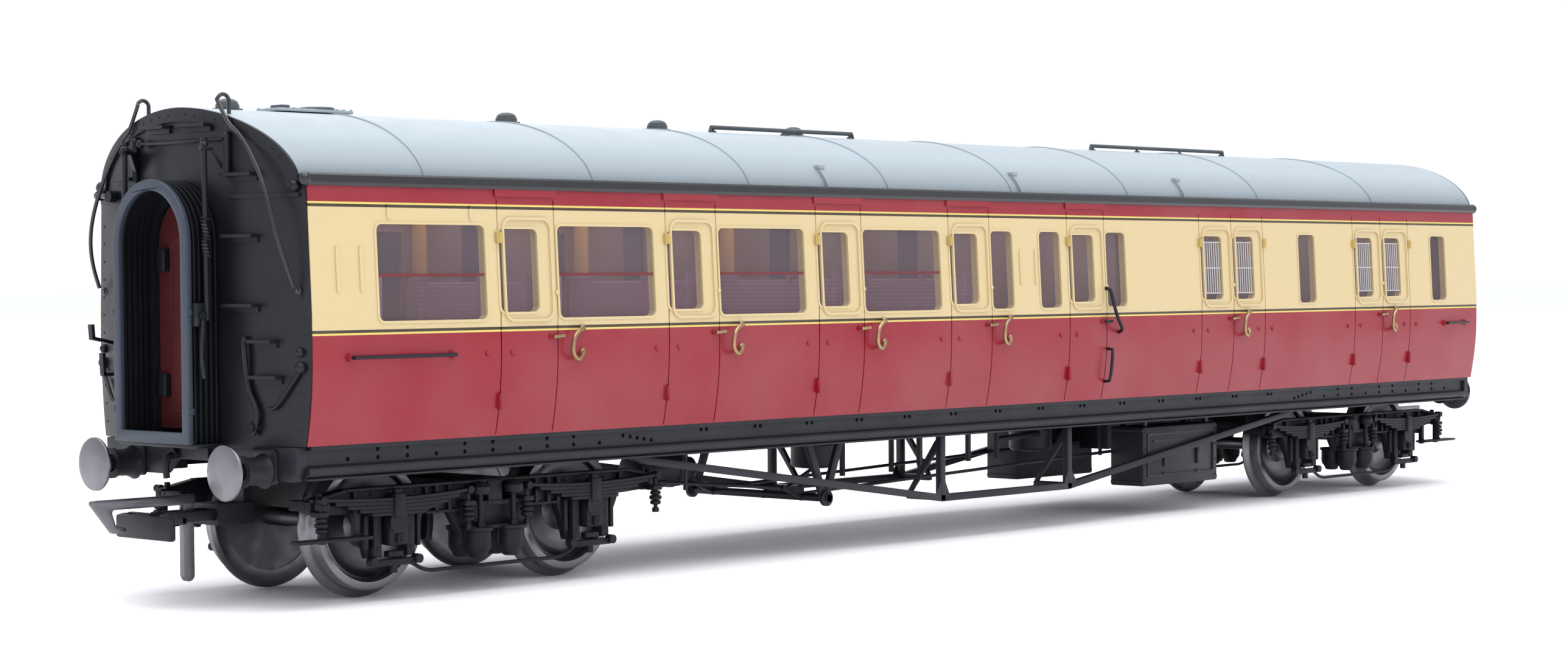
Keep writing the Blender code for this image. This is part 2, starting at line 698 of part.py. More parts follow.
def slider_housings():
    """Two rails under the floor at each end that the coupling's slider runs between."""
    rails = []
    length, width, thick = SLIDER_SIZE
    top = FLOOR_BOTTOM + 0.3
    low = DRAWBAR_TOP + 0.3
    for end in (-1, 1):
        middle = end * (HEADSTOCK_FACE - SLIDER_X)
        near, far = middle - length / 2 - 1.0, middle + length / 2 + 1.0
        near, far = (near - SLIDER_TRAVEL, far) if end < 0 else (near, far + SLIDER_TRAVEL)
        for side in (-1, 1):
            a, b = sorted((side * (width / 2 + 0.15), side * (width / 2 + 0.75)))
            rails.append(block((near, a, low), (far, b, top)))
    return rails


def make_trusses():
    """The angle-iron trussing of each side: a bottom bar, two posts and two slanting bars."""
    end = BOGIE_X - TRUSS_END_GAP
    top = SOLEBAR_FOOT - FIT
    post = TRUSS_POST_X
    low = TRUSS_FOOT
    bar = TRUSS_BAR
    for side, name in ((-1, "truss_compartment_side"), (1, "truss_corridor_side")):
        near, far = sorted((side * (TRUSS_Y - bar / 2), side * (TRUSS_Y + bar / 2)))
        rise = (top - low - bar) / (end - post)
        outer = [(-end - 3, top), (-end, top - bar), (-post, low), (post, low), (end, top - bar), (end + 3, top)]
        inner_z = top - 0.05
        spread = (inner_z - low - bar) / rise
        inner = [(post + spread - 0.5, top), (post, low + bar), (-post, low + bar), (-post - spread + 0.5, top)]
        frame = plate([outer + inner], "xz", near, far, "truss")
        posts = []
        for x in (-post, post):
            posts.append(block((x - bar / 2, near, low + 0.1), (x + bar / 2, far, top)))
            inward = side * (TRUSS_Y - 5.5)
            a, b = sorted((inward, side * TRUSS_Y))
            posts.append(block((x - bar / 2, a, low + 0.1), (x + bar / 2, b, low + bar)))
        combined(frame, posts)
        finished(frame, name, BLACK)


def make_battery_boxes():
    length, width, height = BATTERY_BOX
    top = FLOOR_BOTTOM - FIT
    outer = TRUSS_Y - TRUSS_BAR / 2 - 0.3
    for side, name in ((-1, "battery_box_compartment_side"), (1, "battery_box_corridor_side")):
        near, far = sorted((side * (outer - width), side * outer))
        x = BATTERY_X
        low = SOLEBAR_FOOT - 1 - height
        box = block((x - length / 2, near, low), (x + length / 2, far, low + height), "box")
        hangers = []
        for step in (-0.4, 0.4):
            middle = x + step * length
            inner = side * (outer - width + 1)
            hangers.append(block((middle - 0.5, inner - 0.5, low + 1), (middle + 0.5, inner + 0.5, top)))
        combined(box, hangers)
        finished(box, name, BLACK)


def make_vacuum_cylinders():
    top = FLOOR_BOTTOM - FIT
    neck = 1.2
    for number, x in enumerate(CYLINDER_X, 1):
        low = top - neck - CYLINDER_HEIGHT
        profile = [(0, top), (1.1, top), (1.1, top - neck), (CYLINDER_RADIUS - 0.5, top - neck),
                   (CYLINDER_RADIUS, top - neck - 0.6), (CYLINDER_RADIUS, low), (0, low)]
        cylinder = turned(profile, 16)
        moved(cylinder, Matrix.Translation(place(x, 0, 0)))
        finished(cylinder, f"vacuum_cylinder_{number}", BLACK, smooth=True)


def make_dynamo():
    """The dynamo hangs from the floor on one bracket."""
    z = 10.2
    a, b = DYNAMO_X - DYNAMO_LENGTH / 2, DYNAMO_X + DYNAMO_LENGTH / 2
    dynamo = rod((a, 2.5, z), (b, 2.5, z), DYNAMO_RADIUS, 16, "dynamo")
    bracket = block((DYNAMO_X - 1.2, 1.7, z), (DYNAMO_X + 1.2, 3.3, FLOOR_BOTTOM - FIT))
    pulley = rod((b - 0.5, 2.5, z), (b + 1.6, 2.5, z), DYNAMO_RADIUS * 0.55, STEPS_SMALL)
    combined(dynamo, [bracket, pulley])
    finished(dynamo, "dynamo", BLACK, smooth=True)


def make_brake_shaft():
    """A cross shaft carried by a V-hanger at each side."""
    x, z, r = BRAKE_SHAFT_X, BRAKE_SHAFT_Z, BRAKE_SHAFT_RADIUS
    top = FLOOR_BOTTOM - FIT
    shaft = rod((x, -HANGER_Y - 0.9, z), (x, HANGER_Y + 0.9, z), r, STEPS_SMALL, "shaft")
    parts = []
    leg = 0.8
    for side in (-1, 1):
        near, far = sorted((side * (HANGER_Y - 0.35), side * (HANGER_Y + 0.35)))
        vee = [(x - HANGER_SPREAD - leg, top), (x - leg, z - 0.7), (x + leg, z - 0.7), (x + HANGER_SPREAD + leg, top),
               (x + HANGER_SPREAD - leg, top), (x, z + 1.6), (x - HANGER_SPREAD + leg, top)]
        parts.append(plate([vee], "xz", near, far))
    parts.append(block((x - 0.5, -1.6, z - 0.3), (x + 3.6, -0.8, z + 0.5)))
    combined(shaft, parts)
    finished(shaft, "brake_shaft", BLACK)


# ---- buffers ----
def make_buffers():
    reach = HEADSTOCK_FACE + BUFFER_REACH
    head = BUFFER_HEAD_RADIUS
    thick = BUFFER_HEAD_THICKNESS
    length = BUFFER_REACH + HEADSTOCK_THICKNESS * 0.5
    for end, letter in ((-1, "a"), (1, "b")):
        for side, hand in ((-1, "compartment_side"), (1, "corridor_side")):
            profile = [(0, 0), (head * 0.8, -0.05), (head, -0.2), (head, -thick),
                       (BUFFER_SHANK_RADIUS, -thick - 0.35), (BUFFER_SHANK_RADIUS, -length), (0, -length)]
            buffer = turned(profile, ROUND)
            along_x(buffer, end)
            moved(buffer, Matrix.Translation(place(end * reach, side * BUFFER_CENTRES / 2, BUFFER_Z)))
            finished(buffer, f"buffer_{letter}_{hand}", BRIGHT, smooth=True)


# ---- bogies ----
def side_frame_outline():
    """One bogie side frame: a deep plate with horns round each axlebox and a dip at the bolster."""
    half = WHEELBASE / 2 + BOGIE_OVERHANG
    axle = WHEELBASE / 2
    top, mid, foot = SIDE_FRAME_TOP, 8.8, FLANGE_RADIUS - 3.4
    right = [(half, SIDE_FRAME_END), (half, 9.6), (axle + 5.0, 9.3), (axle + 2.6, foot), (axle - 2.6, foot),
             (axle - 4.4, mid), (6.0, mid), (4.6, 5.2)]
    left = [(-x, z) for x, z in reversed(right)]
    return [(-half + 4.2, top), (half - 4.2, top)] + right + left


def leaf_spring_outline(x):
    low, high, half = SPRING_LOW, SPRING_HIGH, SPRING_HALF
    return [(x - half, high), (x - half, high - 0.5), (x - 2, low), (x + 2, low), (x + half, high - 0.5), (x + half, high)]


def make_bogie_frame():
    """One bogie about its own centre, its coupling end towards +X."""
    inner = AXLE_LENGTH / 2 - PINPOINT_LENGTH + 0.1
    outer = inner + SIDE_FRAME_THICKNESS
    axle = WHEELBASE / 2
    half = axle + BOGIE_OVERHANG
    bolster_half = BOLSTER_LENGTH / 2
    frame = block((-bolster_half, -outer + 0.2, 9.2), (bolster_half, outer - 0.2, BOLSTER_TOP - 1.2), "bogie")
    parts = [rod((0, 0, BOLSTER_TOP - 1.5), (0, 0, BOLSTER_TOP), PIVOT_BOSS_RADIUS, 16)]
    for side in (-1, 1):
        near, far = sorted((side * inner, side * outer))
        parts.append(plate([side_frame_outline()], "xz", near, far))
        near, far = sorted((side * (outer - 0.2), side * (outer + 0.9)))
        for x in (-axle, axle):
            parts.append(plate([leaf_spring_outline(x)], "xz", near, far))
            boss = sorted((side * (outer - 0.2), side * (outer + 1.4)))
            parts.append(block((x - 1.3, boss[0], 5.6), (x + 1.3, boss[1], 9.5)))
        for x in (-2.4, 2.4):
            parts.append(block((x - 1.3, near, 3.6), (x + 1.3, far, 6.6)))
        near, far = sorted((side * (outer - 0.2), side * (outer + 1.6)))
        parts.append(block((axle + 3.8, near, STEP_Z), (half + 3.0, far, STEP_Z + 0.5)))
        near, far = sorted((side * (outer - 0.2), side * (outer + 0.5)))
        parts.append(block((half - 1.4, near, STEP_Z + 0.1), (half - 0.4, far, 10.2)))
        near, far = sorted((side * END_BEAM_INNER, side * (inner + 0.3)))
        for end in (-1, 1):
            a, b = sorted((end * (half - 0.9), end * half))
            parts.append(block((a, near, 9.8), (b, far, SIDE_FRAME_END - 0.2)))
    combined(frame, parts)
    holes = [rod((0, 0, 5), (0, 0, 16), PIVOT_RADIUS + PIVOT_GAP, STEPS_SMALL)]
    bearing = PINPOINT_RADIUS + BEARING_GAP
    depth = PINPOINT_LENGTH + 0.1
    for side in (-1, 1):
        for x in (-axle, axle):
            start, stop = side * (inner - 0.5), side * (inner + depth)
            holes.append(rod((x, start, FLANGE_RADIUS), (x, stop, FLANGE_RADIUS), bearing, STEPS_SMALL))
    return combined(frame, holes, "DIFFERENCE")


def make_bogies():
    frame = make_bogie_frame()
    mesh = frame.data
    for end, letter in ((-1, "a"), (1, "b")):
        bogie = frame if end > 0 else new_object("bogie", mesh)
        bogie.matrix_world = Matrix.Translation(place(end * BOGIE_X, 0, 0)) @ Matrix.Rotation(
            0 if end > 0 else math.pi, 4, "Z"
        )
        finished(bogie, f"bogie_frame_{letter}", BLACK)
        profile = [(0, FLOOR_BOTTOM - 0.5), (PIVOT_RADIUS, FLOOR_BOTTOM - 0.5), (PIVOT_RADIUS, 9.0),
                   (PIVOT_RADIUS * 1.9, 9.0), (PIVOT_RADIUS * 1.9, 8.2), (0, 8.2)]
        pin = turned(profile, STEPS_SMALL)
        pin.location = place(end * BOGIE_X, 0, 0)
        finished(pin, f"bogie_pivot_pin_{letter}", STEEL, smooth=True)


def wheel_profile():
    """(radius, distance out from the wheel's back), down the outer side."""
    tread = TREAD_RADIUS
    bore = AXLE_RADIUS + HUB_BORE_GAP
    wide = WHEEL_WIDTH
    return [(bore, wide - 0.7), (tread * 0.76, wide - 0.7), (tread * 0.8, wide), (tread - 0.08, wide),
            (tread, 0.85), (tread + FLANGE_DEPTH, 0.35), (tread + FLANGE_DEPTH * 0.4, 0), (bore, 0)]


def axle_profile():
    half = AXLE_LENGTH / 2
    shoulder = half - PINPOINT_LENGTH
    r, tip = AXLE_RADIUS, PINPOINT_RADIUS
    return [(0, half), (tip, half - 0.25), (tip, shoulder), (r, shoulder), (r, -shoulder), (tip, -shoulder),
            (tip, -half + 0.25), (0, -half)]


def make_wheelsets():
    wheel, axle = turned(wheel_profile(), ROUND), turned(axle_profile(), STEPS_SMALL)
    wheel_mesh, axle_mesh = wheel.data, axle.data
    number = 0
    for end in (-1, 1):
        for offset in (-WHEELBASE / 2, WHEELBASE / 2):
            number += 1
            at = Matrix.Translation(place(end * BOGIE_X + offset, 0, FLANGE_RADIUS))
            lay = Matrix.Rotation(-math.pi / 2, 4, "X")
            shaft = new_object("axle", axle_mesh)
            shaft.matrix_world = at @ lay
            finished(shaft, f"axle_{number}", STEEL, smooth=True)
            for side, hand in ((-1, "compartment_side"), (1, "corridor_side")):
                disc = new_object("wheel", wheel_mesh)
                out = Matrix.Translation((0, side * mm(BACK_TO_BACK / 2), 0))
                disc.matrix_world = at @ out @ Matrix.Rotation(-side * math.pi / 2, 4, "X")
                finished(disc, f"wheel_{number}_{hand}", STEEL, smooth=True)
    for spare in (wheel, axle):
        bpy.data.objects.remove(spare, do_unlink=True)


# ---- couplings, each modelled for the +X end ----
def make_slider():
    """The slider runs between two rails and carries the drawbar's pivot pin."""
    length, width, thick = SLIDER_SIZE
    x = HEADSTOCK_FACE - SLIDER_X
    low = DRAWBAR_TOP + 0.35
    slider = block((x - length / 2, -width / 2, low), (x + length / 2, width / 2, low + thick), "slider")
    pin = rod((x, 0, DRAWBAR_TOP - DRAWBAR_THICKNESS - 0.3), (x, 0, low + 0.3), 0.7, STEPS_SMALL)
    return combined(slider, [pin])


def make_drawbar():
    """A flat bar from the pivot pin to the headstock, then down to the coupling pocket."""
    pivot = HEADSTOCK_FACE - SLIDER_X
    length, width, height = POCKET_SIZE
    back = HEADSTOCK_FACE - POCKET_BACK
    half = DRAWBAR_WIDTH / 2
    low = DRAWBAR_TOP - DRAWBAR_THICKNESS
    top = POCKET_Z + height / 2
    nose = [math.pi / 2 + math.pi * i / 6 for i in range(7)]
    outline = [(pivot + half * math.cos(t), half * math.sin(t)) for t in nose]
    outline += [(back + 1.0, -half), (back + 1.0, half)]
    bar = plate([outline], "xy", low, DRAWBAR_TOP, "drawbar")
    parts = [
        block((back, -half, POCKET_Z), (back + 1.0, half, low + 0.1)),
        block((back, -width / 2, POCKET_Z - height / 2), (back + length, width / 2, top)),
    ]
    combined(bar, parts)
    wall = POCKET_WALL
    holes = [
        rod((pivot, 0, low - 1), (pivot, 0, DRAWBAR_TOP + 1), 0.7 + 0.15, STEPS_SMALL),
        block((back + 1.0, -width / 2 + wall, POCKET_Z - height / 2 + wall),
              (back + length + 1, width / 2 - wall, top - wall)),
    ]
    return combined(bar, holes, "DIFFERENCE")


def hook_pivot():
    """The hook's trunnion, ahead of the pocket."""
    return HEADSTOCK_FACE + HOOK_PIVOT_X, POCKET_Z


def make_coupling_head():
    """Two cheeks that plug into the pocket and carry the bumper loop."""
    _, width, height = POCKET_SIZE
    back = HEADSTOCK_FACE - POCKET_BACK + 1.0 + FIT
    slot = HEADSTOCK_FACE - HOOK_SLOT
    cheek_out = width / 2 - POCKET_WALL - FIT
    gap = HOOK_THICKNESS / 2 + 0.35
    half_height = height / 2 - POCKET_WALL - FIT
    low, high = POCKET_Z - half_height, POCKET_Z + half_height
    front = HEADSTOCK_FACE + BUMPER_REACH
    bumper_back = front - 0.8
    arm = COUPLING_WIDTH / 2
    cross = front - 2.2
    head = block((back, -cheek_out, low), (slot, cheek_out, high), "head")
    parts = []
    for side in (-1, 1):
        near, far = sorted((side * gap, side * cheek_out))
        parts.append(block((slot - 0.2, near, low), (cross + 0.1, far, high)))
        near, far = sorted((side * gap, side * arm))
        parts.append(block((cross, near, low + 0.1), (cross + 0.7, far, high - 0.1)))
        near, far = sorted((side * (arm - 0.8), side * arm))
        parts.append(block((cross + 0.1, near, low + 0.15), (bumper_back + 0.2, far, high - 0.15)))
    middle = POCKET_Z - 0.9
    parts.append(block((bumper_back, -arm, middle - BUMPER_HEIGHT / 2), (front, arm, middle + BUMPER_HEIGHT / 2)))
    combined(head, parts)
    x, z = hook_pivot()
    holes = [rod((x, -3, z), (x, 3, z), 0.5, STEPS_SMALL)]
    return combined(head, holes, "DIFFERENCE")


def make_hook():
    """The flat hook with its dropper, on a trunnion between the cheeks."""
    x, z = hook_pivot()
    tip = HEADSTOCK_FACE + HOOK_REACH
    back = HEADSTOCK_FACE - HOOK_SLOT + 1.2
    low, high = POCKET_Z + 1.15, POCKET_Z + 2.2
    foot = DROPPER_FOOT
    outline = [
        (back, low), (x - 0.65, low), (x - 0.65, z - 0.6), (x - 0.65, foot + 0.5), (x - 0.3, foot), (x + 0.3, foot),
        (x + 0.65, foot + 0.5), (x + 0.65, z - 0.6), (x + 0.65, low), (tip - 2.0, low), (tip - 2.9, 8.9),
        (tip - 4.0, 8.9), (tip - 4.0, 8.2), (tip - 2.4, 8.0), (tip, high), (back, high),
    ]
    half = HOOK_THICKNESS / 2
    hook = plate([outline], "xz", -half, half, "hook")
    return combined(hook, [rod((x, -1.45, z), (x, 1.45, z), 0.38, STEPS_SMALL)])


def make_couplings():
    for make, name, finish in (
        (make_slider, "coupling_slider", BLACK),
        (make_drawbar, "coupling_drawbar", BLACK),
        (make_coupling_head, "coupling_head", BLACK),
        (make_hook, "coupling_hook", STEEL),
    ):
        shape = make()
        twin = new_object(name, shape.data)
        twin.matrix_world = Matrix.Rotation(math.pi, 4, "Z")
        finished(shape, f"{name}_b", finish)
        finished(twin, f"{name}_a", finish)


# ---- end handrails ----
def handrail_points():
    """One end handrail, for the +X end and +Y side: a loop on the rim, then down the end to the waist."""
    start = RAIL_START
    over = roof_z(start)
    inner, outer = end_x(start) - 0.9, end_x(start) + 0.5
    crown, shoulder = over + RAIL_LOOP, over + RAIL_LOOP - 0.45
    loop = [(inner, start, over + 4 * FIT), (inner, start, shoulder), (inner + 0.35, start, crown),
            (outer - 0.35, start, crown), (outer, start, shoulder)]
    down = []
    steps = 9
    for i in range(1, steps + 1):
        t = i / steps
        y = start + RAIL_SPREAD * math.sin(t * math.pi / 2) ** 0.85
        z = over - 0.3 - RAIL_DROP * t**1.25
        down.append((end_x(y) + 0.5 + RAIL_RADIUS, y, z))
    y, z = down[-1][1:]
    down.append((end_x(y) - 0.1 + RAIL_RADIUS + FIT, y - 0.5, z - 0.3))
    return loop + down


def make_handrails():
    """The rails of the compartments' end: the guard's end has none."""
    for side, hand in ((-1, "compartment_side"), (1, "corridor_side")):
        curve = bpy.data.curves.new("rail", "CURVE")
        curve.dimensions = "3D"
        curve.bevel_depth = mm(RAIL_RADIUS)
        curve.bevel_resolution = 1
        curve.use_fill_caps = True
        points = handrail_points()
        spline = curve.splines.new("POLY")
        spline.points.add(len(points) - 1)
        for point, (x, y, z) in zip(spline.points, points):
            point.co = (*place(-x, side * y, z), 1)
        rail = new_object("rail", curve)
        finished(rail, f"end_handrail_a_{hand}", BLACK)


def main():
    clear_scene()
    make_body_shell()
    make_roof()
    make_roof_vents()
    make_tank_cover()
    make_roof_pipes()
    make_glazing()
    make_interior()
    make_weight()
    make_gangways()
    make_underframe()
    make_trusses()
    make_battery_boxes()
    make_vacuum_cylinders()
    make_dynamo()
    make_brake_shaft()
    make_buffers()
    make_bogies()
    make_wheelsets()
    make_couplings()
    make_handrails()


main()
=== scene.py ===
"""Looks of an OO scale bow-ended brake third corridor coach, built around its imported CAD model.

The side with the compartments faces -Y, the guard's end is at +X and the wheels stand on z = 0.
Lengths are written in millimetres and turned into Blender's metres where a mesh is made.
"""

import math

import bmesh
import bpy
from bpy.props import FloatProperty, FloatVectorProperty, IntProperty, PointerProperty
from bpy.types import Operator, Panel, PropertyGroup
from mathutils import Matrix, Vector
from mathutils.geometry import tessellate_polygon


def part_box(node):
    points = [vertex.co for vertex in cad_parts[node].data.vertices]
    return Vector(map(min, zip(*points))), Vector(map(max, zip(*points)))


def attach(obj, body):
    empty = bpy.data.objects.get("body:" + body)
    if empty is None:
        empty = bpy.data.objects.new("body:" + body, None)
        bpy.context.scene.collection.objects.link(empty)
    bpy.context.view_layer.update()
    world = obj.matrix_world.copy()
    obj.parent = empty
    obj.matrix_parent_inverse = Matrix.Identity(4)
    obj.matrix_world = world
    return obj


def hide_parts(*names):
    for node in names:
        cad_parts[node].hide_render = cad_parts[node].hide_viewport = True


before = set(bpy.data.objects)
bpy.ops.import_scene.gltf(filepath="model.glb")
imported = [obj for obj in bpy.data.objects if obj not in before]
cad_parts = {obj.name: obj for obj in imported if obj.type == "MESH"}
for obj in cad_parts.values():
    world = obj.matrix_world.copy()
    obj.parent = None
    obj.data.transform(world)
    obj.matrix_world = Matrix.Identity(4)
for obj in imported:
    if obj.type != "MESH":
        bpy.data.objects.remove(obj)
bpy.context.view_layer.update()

bl_info = {
    "name": "Corridor Coach",
    "version": (1, 0, 0),
    "blender": (4, 5, 0),
    "location": "View3D > Sidebar > Coach",
    "description": "Builds the looks of a bow-ended corridor coach around its CAD model",
    "category": "Object",
}

MM = 0.001
SIDES = (-1, 1)
ENDS = ((-1, "a"), (1, "b"))


def box_mm(node):
    """The lowest and highest corners of a CAD node, in millimetres."""
    return [[c / MM for c in corner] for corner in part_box(node)]


# ---- what the CAD model gives ----
SHELL_LOW, SHELL_HIGH = box_mm("body_shell")
ROOF_LOW, ROOF_HIGH = box_mm("roof")
BOW = 2.7
HALF = SHELL_HIGH[0] - BOW
HALF_WIDTH = SHELL_HIGH[1]
BOTTOM = SHELL_LOW[2]
CANTRAIL = ROOF_LOW[2]
APEX = ROOF_HIGH[2]
FACE_X = box_mm("gangway_faceplate_b")[1][0]
HEADSTOCK = box_mm("coupling_head_b")[1][0] - 7.0
FLOOR_UNDER = 16.45
AXLES = [sum(corner[0] for corner in box_mm(f"axle_{n}")) / 2 for n in (1, 2, 3, 4)]
BOGIES = ((AXLES[0] + AXLES[1]) / 2, (AXLES[2] + AXLES[3]) / 2)
AXLE_Z = sum(corner[2] for corner in box_mm("axle_1")) / 2
BUFFER_Y = sum(corner[1] for corner in box_mm("buffer_b_corridor_side")) / 2
BUFFER_Z = sum(corner[2] for corner in box_mm("buffer_b_corridor_side")) / 2
BUFFER_FACE = box_mm("buffer_b_corridor_side")[1][0]
BUFFER_BORE = 0.95
COUPLING_Z = 9.3

# ---- the body's section ----
TURN_UNDER, LEAN_IN = 1.1, 0.7
WAIST_LOW, WAIST_HIGH = 26.0, 30.0
SIDE_CUTS = (18.5, 20.0, 21.5, 23.0, 24.5, 26.0, 30.0)
END_CUTS = (-16, -12, -8, -4, 0, 4, 8, 12, 16)
ROOF_INSET = 0.6
ROOF_SPRING = 43.1
GUTTER = 43.6
SQUARENESS = 1.85
END_WALL = 1.2

# ---- the layout of the sides ----
WINDOW, DOOR_LIGHT, SMALL, LUGGAGE_LIGHT = 14.0, 5.0, 3.9, 4.7
DOOR, LEAF = 8.1, 7.9
WINDOW_Z = (29.45, 39.0)
LIGHT_Z = (30.15, 38.65)
WINDOWS = {-1: (-106.3, -81.5, -56.6, -31.6), 1: (-106.3, -81.5, -63.9, -46.3, -22.2)}
DOORS = {-1: (-90.3, -65.3, -40.2, -15.6), 1: (-90.3, -30.9)}
SMALLS = (-7.0, 3.0, 17.4, 64.3, 101.7)
GUARD_DOOR = 8.8
LUGGAGE = (39.05, 79.0)
LIGHT_INSET = 0.4  # from a door's hinge edge to its light

# ---- gangways ----
GANGWAY_HALF, GANGWAY_FOOT, GANGWAY_TALL = 6.5, 17.0, 26.9
OPENING_HALF, SILL = 5.35, 1.2
DOORWAY_HALF, DOORWAY_TALL = 4.85, 23.8


# ---- properties ----
def colour(name, text, value):
    return FloatVectorProperty(name=name, description=text, default=value, subtype="COLOR", min=0, max=1)


def length(name, text, value):
    return FloatProperty(name=name, description=text + ", in millimetres", default=value, min=0, max=30)


class CoachColours(PropertyGroup):
    """The coach's colours."""

    crimson: colour("Crimson", "Lower panels and cantrail", (0.226, 0.0036, 0.0148))
    cream: colour("Cream", "Upper panels", (0.53, 0.418, 0.222))
    yellow: colour("Lining", "Yellow lining", (0.60, 0.48, 0.12))
    lining: colour("Black lining", "Black lining", (0.035, 0.02, 0.01))
    roof: colour("Roof", "Roof grey", (0.29, 0.342, 0.37))
    black: colour("Black", "Ends, underframe and bogies", (0.0062, 0.0070, 0.0102))
    rubber: colour("Gangway", "Gangway bellows and face", (0.026, 0.035, 0.052))
    brass: colour("Brass", "Grab handles", (0.40, 0.28, 0.15))
    steel: colour("Steel", "Buffer heads", (0.215, 0.205, 0.225))
    tyre: colour("Tyre", "Blackened wheels", (0.17, 0.165, 0.18))
    glass: colour("Glass", "Tint of the glazing", (0.20, 0.14, 0.15))
    seat: colour("Seat", "Upholstery", (0.20, 0.10, 0.19))
    wood: colour("Wood", "Partitions", (0.95, 0.55, 0.20))
    door: colour("Door", "End doors", (0.062, 0.011, 0.012))
    bars: colour("Bars", "Luggage door bars", (0.42, 0.41, 0.42))


class CoachSizes(PropertyGroup):
    """Sizes of the fine details."""

    groove: length("Door groove", "Width of the gaps round the doors", 0.16)
    skin: length("Skin", "Depth of the door gaps", 0.12)
    corner: length("Window corner", "Corner radius of the windows", 0.65)
    rivet: length("Rivet", "Radius of a rivet head", 0.13)
    rib: length("Roof rib", "Width of a roof rib", 0.55)
    wire: length("Wire", "Radius of the handrail wires", 0.21)
    folds: IntProperty(name="Folds", description="Folds in each gangway bellows", default=6, min=2, max=10)
    leaves: IntProperty(name="Leaves", description="Leaves in each bogie spring", default=5, min=2, max=8)


def sizes():
    return bpy.context.scene.coach_sizes


def shade(name):
    return tuple(getattr(bpy.context.scene.coach_colours, name))


# ---- materials ----
class Shader:
    """A short way to wire a material's nodes."""

    def __init__(self, name):
        self.material = bpy.data.materials.new(name)
        self.material.use_nodes = True
        self.tree = self.material.node_tree
        self.main = self.tree.nodes["Principled BSDF"]
        self.place = self.node("ShaderNodeTexCoord").outputs["Object"]

    def node(self, kind, **values):
        made = self.tree.nodes.new(kind)
        for key, value in values.items():
            if hasattr(made, key):
                setattr(made, key, value)
            else:
                made.inputs[key.replace("_", " ").title()].default_value = value
        return made

    def link(self, source, target):
        self.tree.links.new(source, target)

    def tint(self, source):
        self.link(source, self.main.inputs["Base Color"])

    def gloss(self, source, low, high):
        """Roughness that wanders between two values."""
        self.link(self.ranged(source, low, high), self.main.inputs["Roughness"])

    def shine(self, level, coat=0.0):
        self.main.inputs["Specular IOR Level"].default_value = level
        self.main.inputs["Coat Weight"].default_value = coat

    def height(self, low, high):
        """0 at one height of the coach and 1 at another, in millimetres."""
        split = self.node("ShaderNodeSeparateXYZ")
        self.link(self.place, split.inputs[0])
        return self.ranged(split.outputs["Z"], 0, 1, low * MM, high * MM)

    def set(self, **values):
        for key, value in values.items():
            self.main.inputs[key.replace("_", " ").title()].default_value = value

    def noise(self, scale, detail=3.0, stretch=(1, 1, 1)):
        mapping = self.node("ShaderNodeMapping")
        mapping.inputs["Scale"].default_value = stretch
        self.link(self.place, mapping.inputs["Vector"])
        made = self.node("ShaderNodeTexNoise", scale=scale, detail=detail)
        self.link(mapping.outputs["Vector"], made.inputs["Vector"])
        return made.outputs["Fac"]

    def ranged(self, source, low, high, from_low=0.3, from_high=0.7):
        made = self.node("ShaderNodeMapRange")
        for name, value in (("From Min", from_low), ("From Max", from_high), ("To Min", low), ("To Max", high)):
            made.inputs[name].default_value = value
        self.link(source, made.inputs["Value"])
        return made.outputs["Result"]

    def blend(self, fac, a, b):
        """A mix of two colours, each a socket or a value."""
        made = self.node("ShaderNodeMix", data_type="RGBA")
        for value, index in ((fac, 0), (a, 6), (b, 7)):
            if isinstance(value, bpy.types.NodeSocket):
                self.link(value, made.inputs[index])
            elif index == 0:
                made.inputs[index].default_value = value
            else:
                made.inputs[index].default_value = (*value, 1)
        return made.outputs[2]

    def bump(self, source, strength, distance):
        made = self.node("ShaderNodeBump")
        made.inputs["Strength"].default_value = strength
        made.inputs["Distance"].default_value = distance * MM
        self.link(source, made.inputs["Height"])
        self.link(made.outputs["Normal"], self.main.inputs["Normal"])


def scaled(tone, share):
    """A colour made lighter or darker."""
    return tuple(min(1, c * share) for c in tone)


def painted(name, tone, roughness=0.4, shine=0.4, grain=900, depth=0.012, mottle=0.12, coat=0.0):
    """Satin paint or moulded plastic: a faint mottle in its colour, uneven gloss and a fine grain."""
    made = Shader(name)
    patches = made.ranged(made.noise(120, 4), 0, 1)
    made.tint(made.blend(patches, scaled(tone, 1 - mottle), scaled(tone, 1 + mottle)))
    made.gloss(made.noise(260, 3), roughness - 0.05, roughness + 0.06)
    made.shine(shine, coat)
    made.bump(made.noise(grain, 2), 0.35, depth)
    return made.material


def roof_paint(name):
    """Grey paint with painted shade: a shade darker towards the gutters, where less light falls from above."""
    tone = shade("roof")
    made = Shader(name)
    # painted shade: the grey drops to 0.6 of itself at the gutters and is full from z 48.4 up
    made.tint(made.blend(made.height(GUTTER, 48.4), scaled(tone, 0.6), tone))
    made.gloss(made.noise(260, 3), 0.37, 0.48)
    made.shine(0.4)
    made.bump(made.noise(900, 2), 0.35, 0.015)
    return made.material


# the height at which each colour of the sides begins
LIVERY = (
    (BOTTOM, "crimson"), (27.88, "yellow"), (28.14, "lining"), (28.4, "cream"),
    (40.84, "lining"), (41.08, "yellow"), (41.32, "crimson"),
)
DUST = (0.5, 0.45, 0.42)


